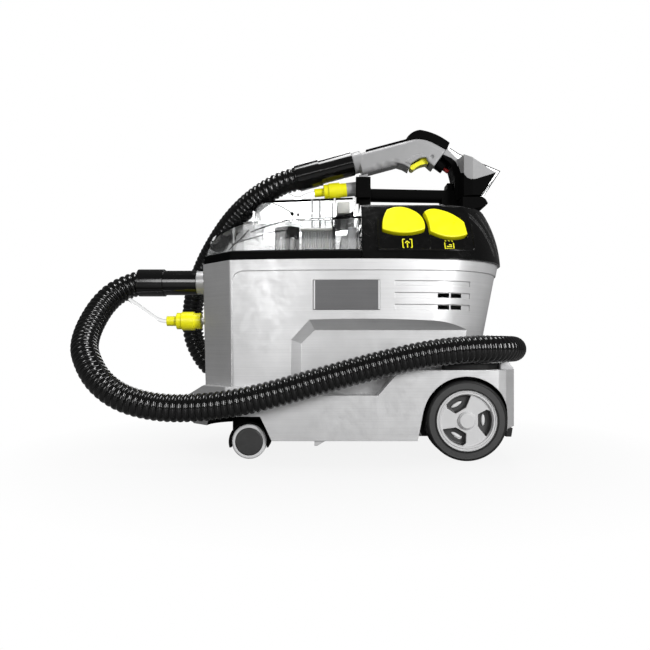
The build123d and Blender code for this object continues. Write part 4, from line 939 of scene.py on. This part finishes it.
@dataclass
class LidFittings:
    """What is seen inside the clear lid: ribs, the air filter, its seals and pins."""

    machine: Machine
    duct_half: float = 58.8
    rib_reach: float = 16.0
    rib_levels: Pair = (353, 389)
    ribs: tuple[tuple[float, float, Slot], ...] = (
        (-50.5, 1.3, Slot.BADGE),
        (-38.2, 2.2, Slot.BADGE),
        (-29.6, 1.2, Slot.FILTER),
        (-18.0, 1.4, Slot.BADGE),
    )
    filter_ends: Pair = (-66.0, -18.5)
    filter_levels: Pair = (303.0, 341.0)
    filter_half: float = 86.0
    pleats: int = 13
    pleat_deep: float = 7.0
    plate_thick: float = 3.4
    plate_drops: Pair = (2.5, 1.2)
    plate_past: Pair = (1.0, 1.5)
    blocks: tuple[tuple[str, Slot, Point, Point, float], ...] = (
        ("lid_bulkhead", Slot.BLACK, (-18.5, -101, 300.5), (-14.0, 101, 343.5), 0.7),
        ("intake_body", Slot.NOZZLE, (-6, -97, 304.0), (17.5, 97, 331.0), 4.0),
        ("intake_column", Slot.FILTER, (5.0, -99, 302.0), (18.0, 99, 342.5), 1.5),
        ("duct_flap", Slot.TANK, (-10.5, -57.5, 372.5), (9.5, 57.5, 391.5), 2.0),
    )
    seal: Outline = ((-14.5, 365.2), (15.5, 371.6), (15.5, 376.4), (8, 372.6), (-14.5, 368.0))
    seal_half: float = 58.4
    pins: tuple[Point, ...] = ((-82.0, 372.0, 2.6), (-72.6, 370.5, 1.9))
    pin_stages: Outline = ((59.2, 1.0), (55.0, 1.0), (54.2, 0.82), (53.8, 0.4))
    pin_sides: int = 18

    def build(self) -> None:
        """Build every fitting."""
        self._ribs()
        self._filter()
        for name, slot, low, high, soft in self.blocks:
            self.machine.mount(Forge.block(name, low, high, soft), slot)
        upright = Seat((0, 0, 0), (1, 0, 0), (0, 0, 1))
        seal = Forge.slab("duct_seal", upright, self.seal, -self.seal_half, self.seal_half, 0.6)
        self.machine.mount(seal, Slot.BLACK)
        self._pins()

    def _ribs(self) -> None:
        """Thin ribs on the duct's walls."""
        foot, top = self.rib_levels
        for number, (place, thick, slot) in enumerate(self.ribs):
            for side, hand in SIDES:
                near, far = sorted((side * self.duct_half, side * (self.duct_half - self.rib_reach)))
                low, high = (place - thick / 2, near, foot), (place + thick / 2, far, top)
                self.machine.mount(Forge.block(f"duct_rib_{number}_{hand}", low, high, 0.4), slot)

    def _filter(self) -> None:
        """The pleated air filter between its two plates."""
        (front, rear), half = self.filter_ends, self.filter_half
        folds = 2 * self.pleats
        row = [
            (front + (rear - front) * fold / folds, half - self.pleat_deep * (fold % 2))
            for fold in range(folds + 1)
        ]
        outline = [(x, -y) for x, y in row] + row[::-1]
        pleats = Forge.slab("filter_pleats", FLAT, outline, *self.filter_levels, 0.25)
        self.machine.mount(pleats, Slot.CASTER_RING)
        past, beside = self.plate_past
        plates = []
        for number, (level, drop) in enumerate(zip(self.filter_levels, self.plate_drops)):
            low = (front - past, -half - beside, level - drop)
            high = (rear + past, half + beside, level - drop + self.plate_thick)
            plates.append(Forge.block(f"plate_{number}", low, high, 0.8))
        self.machine.mount(Forge.join("filter_plates", plates), Slot.TANK)

    def _pins(self) -> None:
        """Small black pins on the duct's walls."""
        for number, (x, z, radius) in enumerate(self.pins):
            for side, hand in SIDES:
                stages = [(Vector((x, side * reach, z)), share) for reach, share in self.pin_stages]
                long, wide = Vector((radius, 0, 0)), Vector((0, 0, radius))
                pin = Forge.boss(f"duct_pin_{number}_{hand}", long, wide, stages, self.pin_sides)
                self.machine.mount(pin, Slot.BLACK)


SIGN_STROKES: dict[str, tuple[Outline, ...]] = {
    "suction": (
        ((-3.6, 7.2), (-7.2, 7.2), (-7.2, -7.0), (-5.0, -7.0)),
        ((3.6, 7.2), (7.2, 7.2), (7.2, -7.0), (5.0, -7.0)),
        ((0, -7.2), (0, 1.0)),
        ((-3.4, 0.6), (0, 4.2), (3.4, 0.6)),
    ),
    "spray": (
        ((-7.2, 3.2), (-7.2, -7.0), (7.2, -7.0), (7.2, 3.2)),
        ((-4.4, -3.4), (4.4, -3.4)),
        ((-0.6, -0.4), (4.4, -0.4)),
        ((-6.6, 7.0), (-4.6, 5.6)),
        ((-0.8, 7.2), (1.0, 5.6)),
        ((4.6, 7.0), (6.2, 5.4)),
    ),
}


@dataclass
class CoverTrim:
    """Raised frame and printed signs on the motor cover."""

    machine: Machine
    frame_line: Outline = ((46, 352), (46, 304), (49, 300.5), (186, 300.5), (189, 304), (189, 343))
    frame_wide: float = 3.4
    frame_rise: float = 1.3
    signs: Outline = ((89.3, 311.0), (150.3, 309.6))
    sign_scale: float = 0.92
    stroke_wide: float = 1.7
    stroke_rise: float = 0.22

    def build(self) -> None:
        """Lay the frame on both sides and the two signs under the buttons."""
        for side, hand in SIDES:
            bead = Bead("top_cover", self.frame_line, self.frame_wide, self.frame_rise, side)
            self.machine.lay(bead, f"cover_frame_{hand}", Slot.COVER)
        for (name, strokes), (x, z) in zip(SIGN_STROKES.items(), self.signs):
            lines = []
            for number, stroke in enumerate(strokes):
                line = tuple((x + u * self.sign_scale, z + v * self.sign_scale) for u, v in stroke)
                bead = Bead("top_cover", line, self.stroke_wide, self.stroke_rise, sink=0.2, step=1.2)
                lines.append(bead.build(f"{name}_stroke_{number}", self.machine.frame))
            self.machine.mount(Forge.join(f"{name}_sign", lines), Slot.YELLOW)


@dataclass
class BadgeTrim:
    """Pale edges of the bare badge plate."""

    machine: Machine
    wide: float = 2.4
    rise: float = 0.5
    inset: float = 1.6
    gap: float = 0.8

    def build(self) -> None:
        """Lay a strip along the plate's two upright edges."""
        low, high = (np.array(corner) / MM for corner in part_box("badge_plate"))
        for hand, x in (("front", low[0] + self.inset), ("rear", high[0] - self.inset)):
            line = ((x, low[2] + self.gap), (x, high[2] - self.gap))
            bead = Bead("badge_plate", line, self.wide, self.rise)
            self.machine.lay(bead, f"badge_edge_{hand}", Slot.CASTER_RING)


@dataclass
class WheelTrim:
    """Pale inserts in the slots of the rear wheels, painted light: they stand in for the lit wall seen
    through the slots.
    """

    machine: Machine
    reach: float = 25.2
    long: float = 8.4
    wide: float = 2.6
    floor: float = 150.2
    crown: float = 2.4
    turns: tuple[float, ...] = (0, 120, 240)
    stages: Outline = ((1.0, 0.0), (1.0, 0.45), (0.86, 0.75), (0.55, 0.95), (0.15, 1.0))
    sides: int = 24

    def build(self) -> None:
        """Set three pale inserts in each wheel, painted light in the slots."""
        for side, hand in SIDES:
            light_pads = [self._light_pad(side, math.radians(turn), k) for k, turn in enumerate(self.turns)]
            lens = Forge.join(f"wheel_lenses_{hand}", light_pads)
            self.machine.mount(lens, Slot.CASTER_RING, f"rear_wheel_{hand}")

    def _light_pad(self, side: int, turn: float, number: int) -> Piece:
        """One crowned insert, long round the wheel and narrow across."""
        out = Vector((math.cos(turn), 0, math.sin(turn)))
        round_it = Vector((-math.sin(turn), 0, math.cos(turn)))
        centre = Vector((REAR_WHEEL[0] / MM, 0, REAR_WHEEL[1] / MM)) + out * self.reach
        stages = [
            (centre + Vector((0, side * (self.floor + self.crown * height), 0)), share)
            for share, height in self.stages
        ]
        return Forge.boss(f"lens_{number}", round_it * self.long, out * self.wide, stages, self.sides)


@dataclass
class GripShell:
    """The grip of the hand nozzle, with its edges rounded and finger rests along its sides."""

    machine: Machine
    weld: float = 0.02
    voxel: float = 0.9
    smoothing: int = 8
    flank_from: float = 6.0
    flank_blend: float = 6.0
    rests: Outline = ((57.0, 459.5), (72.0, 463.0), (87.0, 467.0))
    rest_long: float = 8.0
    rest_high: float = 7.0
    rest_deep: float = 1.3
    guard: Outline = ((101, 467), (119, 479.5), (130, 481), (139, 473), (114, 460))
    guard_rise: float = 1.5
    guard_blend: float = 2.0

    def build(self) -> None:
        """Round a copy of the grip's solid and shape its sides."""
        mesh = self.machine.frame["nodes"]["nozzle_handle"].data.copy()
        mesh.name = "grip_shell"
        shell = bpy.data.objects.new("grip_shell", mesh)
        bpy.context.collection.objects.link(shell)
        shape = bmesh.new()
        shape.from_mesh(mesh)
        bmesh.ops.remove_doubles(shape, verts=shape.verts, dist=self.weld * MM)
        shape.to_mesh(mesh)
        shape.free()
        Forge.modify(shell, "REMESH", mode="VOXEL", voxel_size=self.voxel * MM)
        Forge.modify(shell, "SMOOTH", factor=0.5, iterations=self.smoothing)
        self._shape(shell.data)
        Forge.shade(shell, sharp=60.0)
        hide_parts("nozzle_handle")
        self.machine.mount(shell, Slot.NOZZLE, "hand_nozzle")

    def _shape(self, mesh: bpy.types.Mesh) -> None:
        """Press the finger rests in and raise the guard over the trigger."""
        count = len(mesh.vertices)
        points = np.empty(count * 3)
        mesh.vertices.foreach_get("co", points)
        points = points.reshape(count, 3) / MM
        flank = np.clip((np.abs(points[:, 1]) - self.flank_from) / self.flank_blend, 0.0, 1.0)
        for x, z in self.rests:
            near = np.hypot((points[:, 0] - x) / self.rest_long, (points[:, 2] - z) / self.rest_high)
            press = self.rest_deep * np.clip(1 - near**2, 0.0, 1.0) ** 2 * flank
            points[:, 1] -= np.sign(points[:, 1]) * press
        inside = np.clip(self._depth(points[:, 0], points[:, 2]) / self.guard_blend, 0.0, 1.0)
        points[:, 1] += np.sign(points[:, 1]) * self.guard_rise * inside * flank
        mesh.vertices.foreach_set("co", (points * MM).ravel())
        mesh.update()

    def _depth(self, x: np.ndarray, z: np.ndarray) -> np.ndarray:
        """How deep points lie inside the guard's outline, negative outside."""
        depth = np.full(len(x), np.inf)
        for (x0, z0), (x1, z1) in zip(self.guard, (*self.guard[1:], self.guard[0])):
            length = math.hypot(x1 - x0, z1 - z0)
            depth = np.minimum(depth, ((x - x0) * (z1 - z0) - (z - z0) * (x1 - x0)) / length)
        return depth


@dataclass
class LedgeShadowAndHook:
    """Dark strip on the rear ledge under the wound hose, painted shadow of the hose, and a grey hook beside
    it.
    """

    machine: Machine
    near_line: Outline = ((140, -140), (175, -139), (203, -132), (226, -110), (240, -62), (243, 0))
    low: float = 127.5
    high: float = 137.0
    half: float = 6.0
    hook_y: float = -121.0
    hook_half: float = 5.0
    hook_foot: Outline = ((228, 127.5), (247, 127.5), (247, 131), (243.5, 134))
    hook_top: Outline = ((240.5, 139.5), (231, 139.5), (228, 137))

    def build(self) -> None:
        """Lay the painted shadow strip round the tail and set the hook at its near corner."""
        line = [Vector(place) for place in self.near_line]
        line += [Vector((place.x, -place.y)) for place in line[-2::-1]]
        inner, outer = [], []
        for place, ahead, behind in zip(line, line[1:] + line[-1:], line[:1] + line):
            way = (ahead - behind).normalized()
            beside = Vector((way.y, -way.x)) * self.half
            outer.append(tuple(place + beside))
            inner.append(tuple(place - beside))
        # Dark strip in the rubber finish: painted shadow of the hose on the ledge
        shadow_strip = Forge.slab("hose_rest", FLAT, outer + inner[::-1], self.low, self.high, 1.4)
        self.machine.mount(shadow_strip, Slot.RUBBER)
        beside = Seat((0, self.hook_y, 0), (1, 0, 0), (0, 0, 1))
        outline = self.hook_foot + self.hook_top
        hook = Forge.slab("hose_hook", beside, outline, -self.hook_half, self.hook_half, 1.2)
        self.machine.mount(hook, Slot.FILTER)


@dataclass
class LidShadeLines:
    """Moulded edges of the clear lid, built as near-black opaque beads: painted shade for the fine dark
    lines these edges show.
    """

    machine: Machine
    rise: float = 0.35
    sink: float = 0.3
    lines: tuple[tuple[str, float, Outline], ...] = (
        ("shoulder", 1.6, ((-138, 327.5), (-120, 334.5), (-100, 340.0), (-85, 343.5), (-77.5, 346.5))),
        ("junction", 1.2, ((-68.7, 343.5), (-15.7, 343.8))),
        ("slant", 1.6, ((-171.4, 303.0), (-160.8, 311.4), (-148.8, 321.9), (-140.5, 331.5))),
        ("brow", 1.2, ((-166, 310.5), (-140, 318.0), (-112, 325.5), (-84, 331.0))),
        ("oval_top", 1.5, ((-113, 388), (-106, 385.5), (-96, 381), (-83, 373.0))),
        ("front", 1.6, ((-141.0, 352), (-140.0, 372), (-136.0, 381), (-128, 388.5))),
    )

    def build(self) -> None:
        """Lay every line on both sides."""
        for name, width, line in self.lines:
            for side, hand in SIDES:
                bead = Bead("lid_dome", line, width, self.rise, side, self.sink)
                # Near-black beads on the clear lid: painted shade for the lines along its moulded edges
                self.machine.lay(bead, f"lid_{name}_{hand}", Slot.CASTER_DISC)


# -------- the studio


@dataclass(frozen=True)
class Lamp:
    """One soft lamp: its place, its width and height, its power in watts and what it shines at."""

    name: str
    place: Point
    size: Pair
    power: float
    aim: Point = (0.0, 0.0, 0.2)

    def hang(self) -> None:
        """Hang the lamp, turned towards its aim."""
        light = bpy.data.lights.new(self.name, "AREA")
        light.shape = "RECTANGLE"
        light.size, light.size_y = self.size
        light.energy = self.power
        holder = bpy.data.objects.new(self.name, light)
        holder.location = self.place
        way = Vector(self.aim) - Vector(self.place)
        holder.rotation_euler = way.to_track_quat("-Z", "Y").to_euler()
        bpy.context.collection.objects.link(holder)


@dataclass
class Studio:
    """Camera, lamps and floor."""

    eye: Point = (-0.030, -1.000, 0.1595)
    focal_pixels: float = 595.0
    horizon_row: float = 348.0
    sensor: float = 36.0
    floor_side: float = 14.0
    floor_tone: float = 0.22
    shadow_reach: Pair = (0.2, 0.55)
    shadow_lift: float = 0.88
    sky: float = 0.125
    lamps: tuple[Lamp, ...] = (
        Lamp("key_lamp", (1.25, -1.9, 1.0), (0.5, 1.2), 42.0),
        Lamp("strip_lamp", (-0.75, -2.1, 0.75), (0.35, 0.9), 8.2, aim=(-0.1, 0.0, 0.24)),
        Lamp("line_lamp", (-0.2, -2.0, 0.62), (2.2, 0.08), 3.0),
        Lamp("top_lamp", (-0.15, 0.05, 2.2), (1.2, 0.5), 26.0),
        Lamp("back_lamp", (0.3, 2.4, 1.4), (1.6, 1.2), 34.0),
    )

    def build(self) -> None:
        """Set up the view, the light and the floor."""
        self._camera()
        for lamp in self.lamps:
            lamp.hang()
        self._sky()
        self._floor()
        bpy.context.scene.view_settings.view_transform = "Standard"

    def _camera(self) -> None:
        """Stand the camera where the picture was taken from."""
        lens = bpy.data.cameras.new("camera")
        lens.sensor_width = self.sensor
        lens.lens = self.sensor * self.focal_pixels / IMAGE_SIDE
        lens.shift_y = (self.horizon_row - IMAGE_SIDE / 2) / IMAGE_SIDE
        lens.clip_start = 0.01
        holder = bpy.data.objects.new("camera", lens)
        holder.location = self.eye
        holder.rotation_euler = (math.radians(90), 0.0, 0.0)
        bpy.context.collection.objects.link(holder)
        bpy.context.scene.camera = holder

    def _sky(self) -> None:
        """A dim sky that the camera sees as white."""
        world = bpy.data.worlds.new("studio_sky")
        bpy.context.scene.world = world
        world.use_nodes = True
        sheet = Sheet(world.node_tree)
        level = sheet.stretch(self._seen(sheet), {"To Min": self.sky})
        sheet.feed(world.node_tree.nodes["Background"], {"Color": grey(1.0), "Strength": level})

    @staticmethod
    def _seen(sheet: Sheet) -> Socket:
        """Whether a ray comes from the camera, straight or through a clear piece."""
        ray = sheet.add("LightPath").outputs
        kinds = {0: ray["Is Camera Ray"], 1: ray["Is Transmission Ray"]}
        return sheet.add("Math", kinds, operation="MAXIMUM").outputs[0]

    def _floor(self) -> None:
        """Lay a wide white floor that keeps a faint shadow near the machine."""
        bpy.ops.object.select_all(action="DESELECT")
        bpy.ops.mesh.primitive_plane_add(size=self.floor_side, location=(0.0, 0.0, 0.0))
        floor = bpy.context.active_object
        floor.name = "floor"
        material, sheet, matt = open_material("floor_white")
        sheet.feed(matt, {"Base Color": grey(self.floor_tone), "Roughness": 0.5})
        lit = sheet.add("Emission", {"Color": grey(1.0), "Strength": 1.0})
        reach = sheet.add("VectorMath", {0: sheet.place()}, operation="LENGTH").outputs["Value"]
        near, far = self.shadow_reach
        fade = sheet.stretch(reach, {"From Min": near, "From Max": far, "To Min": self.shadow_lift})
        share = sheet.add("Math", {0: self._seen(sheet), 1: fade}, operation="MULTIPLY")
        mix = sheet.add("MixShader", {0: share.outputs[0], 1: matt.outputs[0], 2: lit.outputs[0]})
        sheet.join(mix.outputs[0], sheet.tree.nodes["Material Output"].inputs["Surface"])
        floor.data.materials.append(material)


# -------- main


def main() -> None:
    """Load the frame, dress it and add the pieces."""
    logging.basicConfig(level=logging.INFO, format="%(name)s: %(message)s")
    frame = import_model()
    bpy.ops.object.select_all(action="DESELECT")
    Studio().build()
    wardrobe = Wardrobe()
    wardrobe.dress_nodes(frame)
    HoseSet().build(frame, wardrobe)
    machine = Machine(frame, wardrobe)
    for group in (LidFittings, CoverTrim, BadgeTrim, WheelTrim, GripShell, LedgeShadowAndHook, LidShadeLines):
        group(machine).build()


if __name__ == "__main__":
    main()
